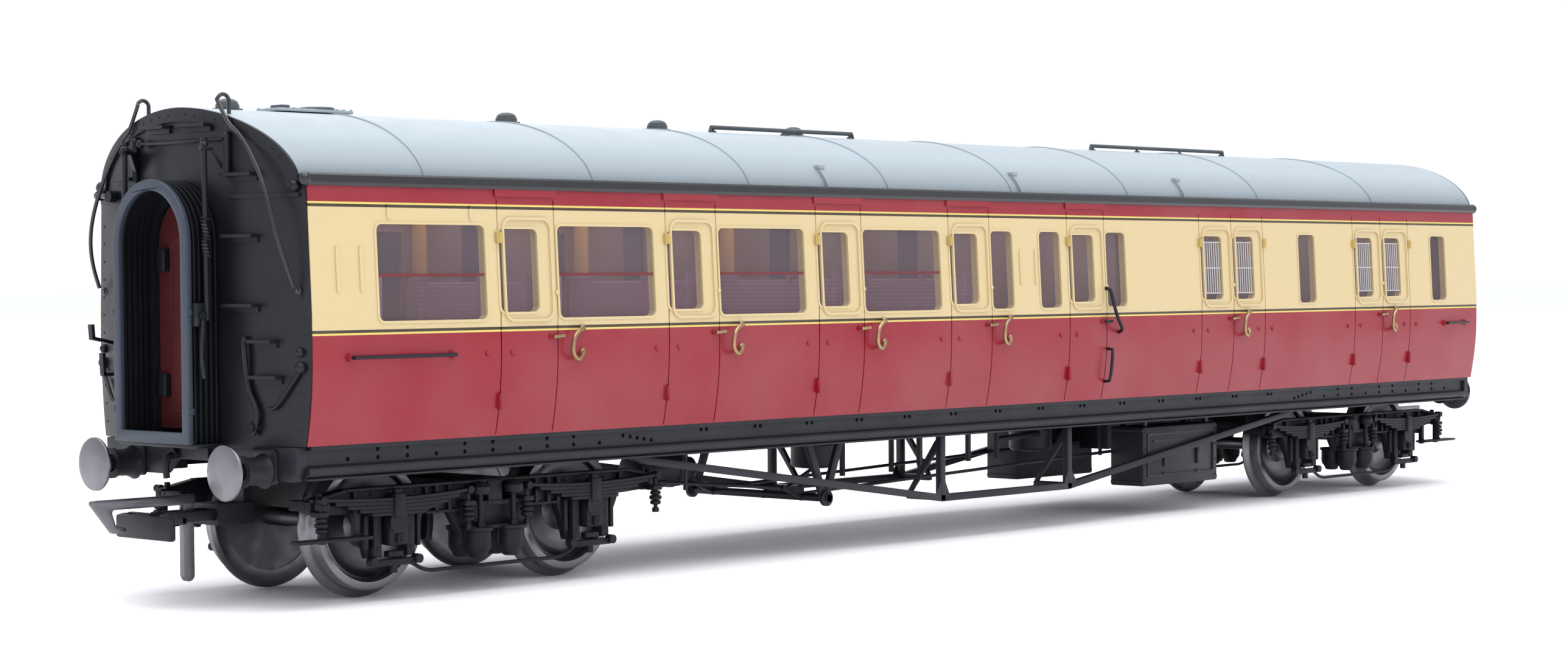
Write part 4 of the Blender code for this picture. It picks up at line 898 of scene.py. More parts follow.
class COACH_OT_ends(Operator):
    """Bowed ends: the wall, its riveted rim, steps, lamp irons, pipes and communication gear"""

    bl_idname = "coach.ends"
    bl_label = "Ends"

    def execute(self, context):
        for end, letter in ENDS:
            doorway = arched(DOORWAY_HALF, DOORWAY_TALL + 1.0, 17.7)
            wall = Shape().on_end([end_outline(sizes().skin), doorway], end, -END_WALL, 0)
            over, under = roof_arc(), roof_arc(-1.45)
            wall.on_end([over + under[::-1]], end, -0.05, 0.28)
            wall.done(f"end_wall_{letter}", "coach_end_black", replaces=["body_shell"])
            self.fittings(end, letter)
            self.rivets(end, letter)
        return {"FINISHED"}

    def rivets(self, end, letter):
        spots = []
        for y, z in roof_arc(-0.72, 30)[2:-2]:
            spots.append(((end * (end_x(y) + 0.27), y, z), end_facing(y)))
        for side in SIDES:
            for z in [18.5 + 1.9 * i for i in range(12)]:
                y = side * (side_y(z) - 1.1)
                spots.append(((end * end_x(y), y, z), end_facing(y)))
        studs(f"end_rivets_{letter}", [(p, (end * n.x, n.y, 0)) for p, n in spots], sizes().rivet, 0.6,
              "coach_end_black")

    def fittings(self, end, letter):
        made = Shape()
        for side in SIDES:
            for inner, outer, z in STEP_IRONS:
                self.step(made, end, *sorted((side * inner, side * outer)), z)
            self.hanger(made, end, side)
            self.post(made, end, side)
            self.alarm_gear(made, end, side)
            self.pipes(made, end, side)
        spot = spot_on(end)
        # the shaft across the end above the gangway
        made.tube([spot(-8.0 + 14.2 * i / 12, 47.75, 0.75) for i in range(13)], 0.18, 7)
        made.ball(spot(6.2, 47.8, 0.6), 0.5)
        self.lamp_irons(made, end)
        made.done(f"end_fittings_{letter}", "coach_end_black")

    def step(self, made, end, a, b, z):
        """A step iron: a flat tread on two short legs, with its back plate."""
        spot = spot_on(end)
        wide = Vector((0, 0.2, 0))
        for y in (a + 0.5, b - 0.5):
            made.box(spot(y, z - 0.12, -0.1) - wide, spot(y, z + 0.12, 0.9) + wide, 0.05)
        tread = [spot(a, z, 0.45), spot(b, z, 0.45), spot(b, z, 1.2), spot(a, z, 1.2)]
        made.loft([[p + Vector((0, 0, rise)) for p in tread] for rise in (-0.17, 0.17)])
        plate = [(a + 0.1, z - 0.65), (b - 0.1, z - 0.65), (b - 0.1, z + 0.2), (a + 0.1, z + 0.2)]
        made.on_end([plate], end, -0.05, 0.26)

    def hanger(self, made, end, side):
        """The joint strip at the cantrail, the bolt beside the gangway and its hanger with a gusset."""
        spot = spot_on(end)
        low, high = sorted((side * 7.7, side * 17.2))
        made.on_end([[(low, 41.8), (high, 41.8), (high, 42.2), (low, 42.2)]], end, -0.05, 0.3)
        made.rod(spot(side * 8.0, 43.9, 0.3), spot(side * 8.0, 48.0, 0.3), 0.42, 16)
        made.ball(spot(side * 8.0, 48.1, 0.3), 0.5, steps=16)
        gusset = (spot(side * 7.2, 46.95, 1.6), spot(side * 8.0, 46.95, 0.1), spot(side * 8.0, 44.0, 0.1))
        thick = Vector((0, 0.36, 0))
        made.loft([[p - thick for p in gusset], [p + thick for p in gusset]])
        made.rod(spot(side * 7.2, 46.95, 1.3), spot(side * 6.9, 46.95, 2.6), 0.32)

    def post(self, made, end, side):
        """The post that steadies the gangway, with its spring."""
        top = Vector((end * POST_X, side * 6.95, 47.2))
        made.rod(top, Vector((end * POST_X, side * 7.15, 29.5)), 0.3)
        made.ball(top, 0.5, (1, 1, 0.9))
        made.rod(top + Vector((0, 0, 0.4)), top + Vector((0, 0, 0.75)), 0.33)
        spring = [(end * POST_X + 0.42 * math.cos(t * 1.3), side * 7.1 + 0.42 * math.sin(t * 1.3),
                   40.0 - 0.07 * t)
                  for t in range(0, 60)]
        made.tube(spring, 0.1, 5)

    def alarm_gear(self, made, end, side):
        """The alarm rod's bearing at the corner of the roof, with the rod itself on the corridor side."""
        spot = spot_on(end)
        outer, inner = spot(side * 17.3, 42.7, 0.55), spot(side * 13.2, 42.5, 0.7)
        if side > 0:
            made.rod(outer, inner, 0.3)
            made.rod(spot(13.2, 42.5, -0.1), spot(13.2, 42.5, 1.1), 0.62, 16)
            made.rod(outer, outer.lerp(inner, 0.25), 0.5, 16)
        made.ball(spot(side * 16.7, 42.9, 0.3), 0.62, (0.9, 1, 1), 20)
        made.rod(spot(side * 16.7, 42.9, 0.1), spot(side * 16.7, 42.9, 0.95), 0.26, 14)

    def pipes(self, made, end, side):
        """The heater pipe that bends to the corner, and the pipe beside the gangway."""
        spot = spot_on(end)
        made.tube(smoothed([spot(side * 13.3, 20.7, 0.3), spot(side * 14.2, 20.85, 0.35),
                            spot(side * 15.6, 22.4, 0.35),
                            spot(side * 17.3, 24.6, 0.3)], 5), 0.22, 7)
        made.ball(spot(side * 17.2, 24.8, 0.2), 0.6)
        made.ball(spot(side * 17.1, 26.3, 0.15), 0.5)
        made.tube(smoothed([spot(side * 10.3, 27.6, 0.1), spot(side * 10.4, 27.2, 0.6),
                            spot(side * 10.7, 23.0, 0.4),
                            spot(side * 11.9, 20.2, 0.45), spot(side * 11.4, 18.0, 0.5)], 5), 0.3, 8)
        made.rod(spot(side * 11.4, 18.8, -0.1), spot(side * 11.4, 18.8, 0.9), 0.55)

    def lamp_irons(self, made, end):
        """Two lamp irons, each a strap turned up at its tip."""
        for z, reach, lift, rise in ((26.5, 5.2, 1.1, 1.3), (23.8, 3.9, 0.0, 2.1)):
            root = Vector((end * END_FACE, LAMP_IRON_Y, z))
            elbow = Vector((end * (END_FACE + reach), LAMP_IRON_Y, z + lift))
            tip = elbow + Vector((end * 0.1, 0, rise))
            for a, b in ((root, elbow), (elbow, tip)):
                along = (b - a).normalized() * 0.15
                normal = Vector((0, 1, 0)).cross(along).normalized() * 0.18
                wide = Vector((0, 0.34, 0))
                made.loft([[q + wide * w + normal * n for w, n in ((-1, -1), (1, -1), (1, 1), (-1, 1))]
                           for q in (a, b + along)])


ROOF_RIBS = (-99.2, -75.2, -50.3, -25.6, -1.3, 24.0, 55.5, 86.3)
BOARD_BRACKETS = (-36.8, 0.5, 37.0)


class COACH_OT_roof(Operator):
    """The roof with its ribs, gutters, ventilators, tank cover and pipes"""

    bl_idname = "coach.roof"
    bl_label = "Roof"

    def execute(self, context):
        over, under = roof_arc(), roof_arc(-0.9)
        section = over + under[::-1]
        ends = [[(end * (end_x(y) - 0.05), y, z) for y, z in section] for end in SIDES]
        Shape().loft(ends).done("roof_skin", "coach_roof_paint", replaces=["roof"])
        rib = roof_arc(0.13)[1:-1] + roof_arc(-0.3)[1:-1][::-1]
        half = sizes().rib / 2
        shape = Shape().loft([[(x, y, z) for y, z in rib] for x in (-half, half)])
        copies(shape, "roof_ribs", [(x, 0, 0) for x in ROOF_RIBS], "coach_roof_paint")
        self.gutters()
        self.vents()
        self.tank()
        self.pipes()
        return {"FINISHED"}

    def gutters(self):
        made = Shape()
        for side in SIDES:
            wall = side_y(CANTRAIL)
            section = [(wall - 1.0, 42.95), (wall + 0.28, 42.95), (wall + 0.45, 43.3), (wall + 0.45, 44.0),
                       (wall + 0.28, 44.2), (wall - 0.15, 44.2), (wall - 0.3, 43.75), (wall - 1.0, GUTTER)]
            made.loft([[(x, side * y, z) for y, z in section] for x in (-HALF - 0.05, HALF + 0.05)])
            for end in SIDES:
                made.ball((end * (HALF + 0.15), side * (wall - 0.15), 43.55), 0.78, (0.85, 0.9, 0.95), 20)
        made.done("gutters", "gutter_black", angle=25)

    def vents(self):
        """Shell-shaped ridge ventilators, ribbed across."""
        for number in (1, 2, 3, 4):
            low, high = box_mm(f"roof_vent_{number}")
            x = (low[0] + high[0]) / 2
            radius, tall = (high[0] - low[0]) / 2, high[2] - low[2]
            profile = [(0, 0), (radius, 0), (radius, tall * 0.3)]
            for i in range(1, 5):
                t = i / 5
                r = radius * math.cos(t * math.pi / 2) ** 0.6
                z = tall * (0.3 + 0.7 * math.sin(t * math.pi / 2))
                profile += [(r, z - 0.05), (r - 0.1, z)]
            profile.append((0, tall))
            made = Shape().turned(profile, (x, 0, low[2]), (0, 0, 1), 28)
            made.box((x - radius - 0.2, -0.75, low[2] - 0.1), (x + radius + 0.2, 0.75, low[2] + 0.12), 0.05)
            made.done(f"ventilator_{number}", "vent_grey", replaces=[f"roof_vent_{number}"])

    def tank(self):
        low, high = box_mm("tank_cover")
        x = (low[0] + high[0]) / 2
        base = rounded(low[:2], high[:2], 0.5, 4)
        made = Shape().plate([base], "xy", low[2], low[2] + 0.32, 0.06)
        inner = rounded((low[0] + 0.7, low[1] + 0.6), (high[0] - 0.7, high[1] - 0.6), 0.4, 4)
        made.plate([inner], "xy", low[2] + 0.3, low[2] + 0.42)
        disc = [(0, 0), (1.9, 0), (1.9, 0.2), (1.75, 0.35), (0.7, 0.42), (0.6, 0.36), (0, 0.36)]
        made.done("tank_cover_plate", "coach_roof_paint", replaces=["tank_cover"])
        lid = Shape().turned(disc, (x + 1.6, 0, low[2] + 0.3), (0, 0, 1), 32)
        lid.box((low[0] + 1.2, -1.0, low[2] + 0.4), (low[0] + 2.4, 1.0, low[2] + 0.75), 0.15)
        lid.done("tank_filler_lid", "vent_grey")
        bolts = [((low[0] + 0.35 + (high[0] - low[0] - 0.7) * i / 10, y, low[2] + 0.32), (0, 0, 1))
                 for i in range(11) for y in (low[1] + 0.3, high[1] - 0.3)]
        studs("tank_cover_bolts", bolts, 0.16, 0.8, "vent_grey")

    def pipes(self):
        for number in (1, 2):
            low, high = box_mm(f"roof_pipe_{number}")
            y = (low[1] + high[1]) / 2
            made = Shape()
            ends = [(low[0] + 0.3, -0.5), (low[0] + 0.5, 0.25)], [(high[0] - 0.5, 0.25), (high[0] - 0.3, -0.5)]
            route = [(x, y, high[2] - 0.28 + (z - 0.25)) for x, z in (*ends[0], *ends[1])]
            made.tube(route, 0.26, 10)
            count = max(2, round((high[0] - low[0]) / 12))
            for i in range(count + 1):
                x = low[0] + 0.9 + (high[0] - low[0] - 1.8) * i / count
                made.turned([(0, 0), (0.42, 0), (0.4, 0.15), (0.17, 0.25), (0.17, 0.6), (0, 0.6)],
                            (x, y, roof_z(y) - 0.02), (0, 0, 1), 10)
            made.done(f"ridge_pipe_{number}", "vent_grey", replaces=[f"roof_pipe_{number}"])
        # the brackets that carry a roof board above the gutter
        shape = Shape()
        for side in SIDES:
            strap = [[p for p in roof_arc(grow) if p[0] * side > 0 and GUTTER < p[1] < 47.0]
                     for grow in (0.4, -0.2)]
            shape.loft([[(x, y, z) for y, z in strap[0] + strap[1][::-1]] for x in (-0.45, 0.45)])
            y, z = max(strap[0], key=lambda point: point[1])
            shape.box((-0.5, y - side * 0.5, z - 0.25), (0.5, y + side * 0.35, z + 0.25), 0.08)
        copies(shape, "roof_board_brackets", [(x, 0, 0) for x in BOARD_BRACKETS], "coach_roof_paint")


class COACH_OT_glazing(Operator):
    """Glazing behind the windows, with the bar across each wide one and the luggage doors' bars"""

    bl_idname = "coach.glazing"
    bl_label = "Glazing"

    def execute(self, context):
        for side in SIDES:
            label = side_label(side)
            panes = Shape()
            for a, b, c, d in lights_of(side):
                pane = rounded((a + 0.03, c + 0.03), (b - 0.03, d - 0.03), sizes().corner)
                panes.on_side([pane], side, -0.55, -0.16)
            panes.done(f"window_panes_{label}", "window_glazing", replaces=[f"glazing_{label}"])
            made = Shape()
            for x in WINDOWS[side]:
                made.on_side([[(x, 33.82), (x + WINDOW, 33.82), (x + WINDOW, 34.1), (x, 34.1)]], side, -0.17,
                             -0.1)
            made.done(f"window_bars_{label}", "window_bar_paint")
            bars = Shape()
            width = LUGGAGE_LIGHT
            for z in (30.8, 34.3, 37.9):
                bars.on_side([[(0, z), (width, z), (width, z + 0.14), (0, z + 0.14)]], side, -0.17, -0.1)
            for i in range(8):
                x = 0.45 + (width - 0.9) * i / 7
                bars.on_side([[(x - 0.07, 30.8), (x + 0.07, 30.8), (x + 0.07, 38.0), (x - 0.07, 38.0)]], side,
                             -0.17, -0.08)
            offsets = [(x + leaf + LIGHT_INSET, 0, 0) for x in LUGGAGE for leaf in (0, LEAF)]
            copies(bars, f"luggage_bars_{label}", offsets, "luggage_bar_paint")
        return {"FINISHED"}


BAYS = (-107.0, -82.0, -57.1, -32.0, -7.6)  # the partitions on either side of each compartment
CROSS_WALLS = (2.2, 22.5, 62.5, 77.0, 101.0)
WALL_FOOT, WALL_TOP = 19.4, 40.4
INSIDE_HALF = 16.0


class COACH_OT_interior(Operator):
    """The floor, partitions, corridor wall and seats that show through the windows"""

    bl_idname = "coach.interior"
    bl_label = "Interior"

    def execute(self, context):
        walls = Shape()
        walls.box((BAYS[0], 5.3, WALL_FOOT), (-8.0, 5.9, WALL_TOP), 0.05)
        for x in BAYS + CROSS_WALLS:
            reach = 5.4 if x in BAYS else INSIDE_HALF
            walls.slab(x, 0.35, (-INSIDE_HALF, reach), (WALL_FOOT, WALL_TOP), 0.05)
        # the partitions take the grey-brown wood, which is painted shade and reflection; the posts below keep
        # the tan wood
        walls.done("partitions", "panel_wood", replaces=["interior_moulding"])
        posts, curtains = Shape(), Shape()
        for x in BAYS:
            for face in SIDES:
                a, b = x + face * 0.3, x + face * 0.75
                posts.box((a, 2.9, 30.2), (b, 5.2, 40.3), 0.1)
                posts.box((a, 3.5, 29.2), (b, 4.6, 30.4), 0.1)
                curtains.box((a, -6.4, 27.0), (b, -3.4, 40.3), 0.15)
        posts.done("partition_posts", "partition_wood")
        curtains.done("window_curtains", "curtain_cloth")
        self.blinds()
        floor = Shape().box((-113.2, -INSIDE_HALF, 18.8), (113.2, INSIDE_HALF, 19.5), 0.1)
        floor.done("coach_floor", "floor_brown")
        Shape().box((-113.2, -16.4, 40.6), (113.2, 16.4, 41.2)).done("ceiling", "ceiling_paint")
        self.seats()
        return {"FINISHED"}

    def seats(self):
        """Two seats that face each other in every compartment, each with its wings and arm rests."""
        seat = Shape()
        for low, facing in ((0.4, 1), (24.2, -1)):
            back, front = (low, low + facing * 1.7)
            seat.box((back, -15.6, 23.5), (front, 2.6, 33.2), 0.7)
            wing = front + facing * 0.5
            seat.box((back, 0.6, 23.5), (wing, 4.2, 34.0), 0.9)
            cushion = low + facing * 6.2
            seat.box((back, -15.6, 19.6), (cushion, 5.0, 24.6), 0.8)
            for y in (-15.9, -8.6):
                seat.box((min(back, front) - 0.1, y, 24.4),
                         (max(back, front) + 0.9 * max(facing, 0), y + 0.8, 34.0), 0.35)
        copies(seat, "compartment_seats", [(x, 0, 0) for x in BAYS[:-1]], "seat_cloth")

    def blinds(self):
        """The corridor wall's window frames and blinds, seen across each compartment."""
        frames, cloth = Shape(), Shape()
        for x in BAYS[:-1]:
            for low, high in ((1.4, 7.2), (16.4, 22.6)):
                ring = frame_ring((x + low, 28.6), (x + high, 38.8), 0.5, 0.4)
                frames.plate(ring, "xz", 4.95, 5.35, 0.08)
                cloth.box((x + low + 0.2, 5.1, 28.8), (x + high - 0.2, 5.25, 38.6), 0.05)
            frames.box((x + 8.3, 5.0, 19.6), (x + 15.4, 5.35, 40.2), 0.1)
            frames.box((x + 9.2, 4.85, 29.0), (x + 14.5, 5.1, 38.6), 0.1)
        frames.done("corridor_wall_frames", "panel_wood")
        cloth.done("corridor_blinds", "curtain_cloth")


def kept(finish, *nodes):
    """Gives CAD nodes that stay in view their finish."""
    for node in nodes:
        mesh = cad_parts[node].data
        mesh.materials.clear()
        mesh.materials.append(finish_of(finish))


class COACH_OT_gangways(Operator):
    """Gangways: folded bellows, a face plate round the opening, and the end door behind"""

    bl_idname = "coach.gangways"
    bl_label = "Gangways"

    def execute(self, context):
        face = arched(GANGWAY_HALF, GANGWAY_TALL, GANGWAY_FOOT)
        crown = GANGWAY_FOOT + GANGWAY_TALL - GANGWAY_HALF
        foot = GANGWAY_FOOT + SILL
        opening = arched(OPENING_HALF, crown + OPENING_HALF - foot, foot)
        plate_deep = 0.7
        for end, letter in ENDS:
            low, high = sorted((end * FACE_X, end * (FACE_X - plate_deep)))
            plate = Shape().plate([face, opening], "yz", low, high, 0.16)
            for side in SIDES:
                for z in (20.0, 30.0):
                    x = end * (FACE_X - 0.35)
                    plate.slab(x, 0.4, (side * 6.45 - 0.16, side * 6.45 + 0.16), (z, z + 0.7), 0.08)
            plate.done(f"gangway_face_{letter}", "gangway_rubber", replaces=[f"gangway_faceplate_{letter}"])
            start, depth = HALF + 1.9, FACE_X - plate_deep - HALF - 1.9
            outer = arched(GANGWAY_HALF - 0.55, GANGWAY_TALL - 0.75, GANGWAY_FOOT + 0.2)
            inner = arched(GANGWAY_HALF - 1.1, GANGWAY_TALL - 1.9, GANGWAY_FOOT + 0.8)
            low, high = sorted((end * start, end * (start + depth)))
            sleeve = Shape().plate([outer, inner], "yz", low, high)
            sleeve.done(f"bellows_sleeve_{letter}", "gangway_black", replaces=[f"gangway_bellows_{letter}"])
            folds = sizes().folds
            pitch = depth / folds
            rib = [arched(GANGWAY_HALF - 0.08, GANGWAY_TALL - 0.16, GANGWAY_FOOT + 0.08), inner]
            fold = Shape().plate(rib, "yz", -0.17 * pitch, 0.17 * pitch, 0.07)
            spots = [(end * (start + pitch * (i + 0.5)), 0, 0) for i in range(folds)]
            copies(fold, f"bellows_folds_{letter}", spots, "gangway_black")
            self.door(end, letter)
            self.latches(end, letter)
        return {"FINISHED"}

    def door(self, end, letter):
        low, high = box_mm(f"gangway_door_{letter}")
        slab = arched(DOORWAY_HALF - 0.05, 42.1 - low[2], low[2])
        a, b = sorted((low[0], high[0]))
        made = Shape().plate([slab], "yz", a, b, 0.05)
        outer = b if end > 0 else a
        light = rounded((-2.4, 29.6), (2.4, 37.6), 0.9)
        made.plate([frame_ring((-2.4, 29.6), (2.4, 37.6), 0.35, 0.9)[0], light], "yz", outer - 0.05,
                   outer + 0.05)
        lower = frame_ring((-2.9, 20.2), (2.9, 28.2), 0.2, 0.4)
        made.plate(lower, "yz", outer - 0.06, outer + 0.06)
        made.done(f"end_door_{letter}", "end_door_paint", replaces=[f"gangway_door_{letter}"])
        blocks = Shape()
        for z in (21.5, 34.5):
            blocks.box((outer - end * 0.1, 2.9, z), (outer + end * 0.7, 4.3, z + 2.4), 0.12)
        blocks.rod((outer, -3.2, 28.9), (outer + end * 0.6, -3.2, 28.9), 0.25)
        blocks.box((outer, -3.9, 28.7), (outer + end * 0.6, -2.6, 29.1), 0.08)
        blocks.done(f"end_door_latches_{letter}", "coach_end_black")

    def latches(self, end, letter):
        """The swing handle on the side of the face plate, and the plate's foot."""
        made = Shape()
        x = end * (FACE_X - 1.3)
        made.slab(x, 0.7, (-7.2, -6.2), (28.9, 31.3), 0.15)
        made.rod((x, -7.2, 30.0), (x, -7.6, 30.0), 0.4)
        blade = [(x, -7.45, 29.6), (x + end * 0.1, -7.5, 28.4), (x + end * 0.25, -7.5, 26.0), (x, -7.5, 23.7)]
        made.tube(smoothed(blade, 5), 0.2, 6)
        made.box((end * (HALF + 1.9), -6.9, 16.6), (end * (FACE_X - 0.8), 6.9, 17.05), 0.1)
        made.done(f"gangway_handle_{letter}", "coach_end_black")


RAIL_FEET = (-110.5, -97.1, 105.0, 111.2)


class COACH_OT_handles(Operator):
    """Hinges, studs, grab handles and door handles along both sides"""

    bl_idname = "coach.handles"
    bl_label = "Door handles"

    def execute(self, context):
        for side in SIDES:
            label = side_label(side)
            self.painted_parts(side, label)
            self.brass(side, label)
            self.black(side, label)
        return {"FINISHED"}

    def grabs(self, side):
        """x of each brass grab handle: past the lock of each door, and of each pair of luggage doors."""
        return [x + DOOR + 2.8 for x in DOORS[side]] + [x + LEAF + 2.8 for x in LUGGAGE]

    def painted_parts(self, side, label):
        made, upper = Shape(), Shape()
        studded = []
        for hinge, lock in doors_of(side):
            for z, tall, half, shape in ((20.6, 1.7, 0.3, made), (37.9, 1.2, 0.42, upper)):
                leaf = rounded((hinge - half, z - tall / 2), (hinge + half, z + tall / 2), 0.15, 3)
                shape.on_side([leaf], side, -0.1, 0.38)
                y = side * (side_y(z) + 0.34)
                shape.rod((hinge, y, z - tall / 2), (hinge, y, z + tall / 2), 0.2)
            inward = 1 if lock > hinge else -1
            studded += [(hinge - inward * 1.9, 25.7), (hinge + inward * 1.6, 25.7), (lock, 32.0)]
            made.rod((lock - 0.95 * inward, side * (HALF_WIDTH - 0.05), 27.3),
                     (lock - 0.95 * inward, side * (HALF_WIDTH + 0.22), 27.3), 0.32)
        spots = []
        for x, z in sorted(set(studded)):
            tilt = side_tilt(z)
            spots.append(((x, side * side_y(z), z), (0, side * tilt.y, tilt.z)))
        for x in RAIL_FEET:
            made.rod((x, side * (HALF_WIDTH - 0.1), 25.7), (x, side * (HALF_WIDTH + 0.4), 25.7), 0.42, 16)
        made.done(f"hinges_{label}", "coach_body_paint")
        upper.done(f"upper_hinges_{label}", "hinge_buff")
        studs(f"door_studs_{label}", spots, 0.33, 0.9, "coach_body_paint")

    def brass(self, side, label):
        made = Shape()
        for x in self.grabs(side):
            loop = [(0.85, 28.15, -0.2), (0.7, 28.15, 0.4), (-0.1, 28.05, 0.8), (-1.1, 27.3, 0.95),
                    (-1.4, 26.2, 0.95),
                    (-1.25, 25.3,
                     0.9), (-0.6, 24.8, 0.8), (0.2, 25.05, 0.5), (0.7, 25.5, 0.25), (0.8, 25.6, -0.2)]
            made.tube(smoothed([(x + dx, side * (side_y(z) + out), z) for dx, z, out in loop], 5), 0.23, 8)
            for z in (28.15, 25.6):
                made.ball((x + 0.8, side * (side_y(z) + 0.08), z), 0.4, (1, 0.6, 1), 12)
        for hinge, lock in doors_of(side):
            if hinge == GUARD_DOOR or hinge > lock:
                continue
            self.tee(made, side, lock)
        made.done(f"brass_handles_{label}", "grab_brass")

    def tee(self, made, side, lock):
        """A turned handle lying across the lock."""
        made.rod((lock - 0.25, side * (HALF_WIDTH - 0.1), 27.3), (lock - 0.25, side * (HALF_WIDTH + 0.55), 27.3),
                 0.17)
        made.rod((lock - 0.85, side * (HALF_WIDTH + 0.5), 27.25),
                 (lock + 0.45, side * (HALF_WIDTH + 0.5), 27.35), 0.2, 10)
        made.ball((lock - 0.85, side * (HALF_WIDTH + 0.5), 27.25), 0.2)
        made.ball((lock + 0.45, side * (HALF_WIDTH + 0.5), 27.35), 0.22)

    def black(self, side, label):
        """The guard's handles and the long rails beside the ends."""
        made = Shape()
        upper = [(16.4, 31.7, -0.2), (16.5, 31.5, 0.9), (16.9, 29.6, 1.15), (17.8, 27.7, 1.2), (19.0, 26.3, 1.0),
                 (19.6, 25.8, -0.2)]
        made.tube(smoothed([(x, side * (side_y(z) + out), z) for x, z, out in upper], 5), 0.24, 8)
        lower = [(17.0, 23.7, -0.2), (17.0, 23.6, 0.9), (17.0, 22.6, 1.0), (17.0, 20.4, 1.0), (17.0, 19.4, 0.9),
                 (17.0, 19.3, -0.2)]
        made.tube([(x, side * (side_y(z) + out), z) for x, z, out in lower], 0.22, 8)
        self.tee(made, side, GUARD_DOOR + DOOR)
        for a, b in (RAIL_FEET[:2], RAIL_FEET[2:]):
            z = 25.7
            out = HALF_WIDTH + 0.75
            made.tube([(a, side * (HALF_WIDTH - 0.3), z), (a, side * out, z), (b, side * out, z),
                       (b, side * (HALF_WIDTH - 0.3), z)], 0.2, 8)
        made.done(f"black_handles_{label}", "coach_end_black")


class COACH_OT_end_rails(Operator):
    """The curved handrail wires of the compartments' end, with their feet"""

    bl_idname = "coach.end_rails"
    bl_label = "End handrails"

    def execute(self, context):
        end = -1
        for side in SIDES:
            name = f"end_handrail_a_{side_label(side)}"
            low, high = box_mm(name)
            self.wire(end, side).done(f"handrail_wire_{side_label(side)}", "gutter_black", replaces=[name])
            foot_y = side * max(abs(low[1]), abs(high[1]))
            made = Shape()
            foot = (end * (end_x(foot_y) - 0.2), foot_y - side * 0.2, low[2] + 0.2)
            made.tube([foot, (end * (end_x(foot_y) + 0.35), foot_y - side * 0.2, low[2] + 0.1)], 0.26, 8)
            made.turned([(0, 0), (0.45, 0), (0.45, 0.18), (0.3, 0.28), (0, 0.28)],
                        (end * (end_x(foot_y) - 0.02), foot_y - side * 0.2, low[2] + 0.15), (end, 0, 0), 12)
            made.done(f"handrail_foot_{side_label(side)}", "gutter_black")
        return {"FINISHED"}

    def wire(self, end, side):
        """A loop over the rim, then a long sweep down the end to a foot near the waist."""
        start, over = 7.0, roof_z(7.0)
        inner, outer = end_x(start) - 0.9, end_x(start) + 0.5
        radius = (outer - inner) / 2
        crown = over + 1.95 - radius
        points = [(inner, start, over - 0.2)]
        points += [(u, start, v) for u, v in arc((inner + outer) / 2, crown, radius, 180, 0, 8)]
        for i in range(1, 14):
            t = i / 13
            y = start + 9.9 * math.sin(t * math.pi / 2) ** 0.85
            bulge = 1.3 * math.sin(math.pi * t**2)
            points.append((end_x(y) + 0.5 + sizes().wire * min(1, 3 * t) + bulge, y,
                           over - 0.3 - 17.3 * t**1.25))
        spread = smoothed([(end * x, side * y, z) for x, y, z in points], 3)
        return Shape().tube(spread, sizes().wire, 8)


# ---- underframe ----
def at_end(end, x=0.0):
    """Moves a shape made for the +X end to either end, turned about."""
    return Matrix.Translation((end * x, 0, 0)) @ Matrix.Rotation(0 if end > 0 else math.pi, 4, "Z")


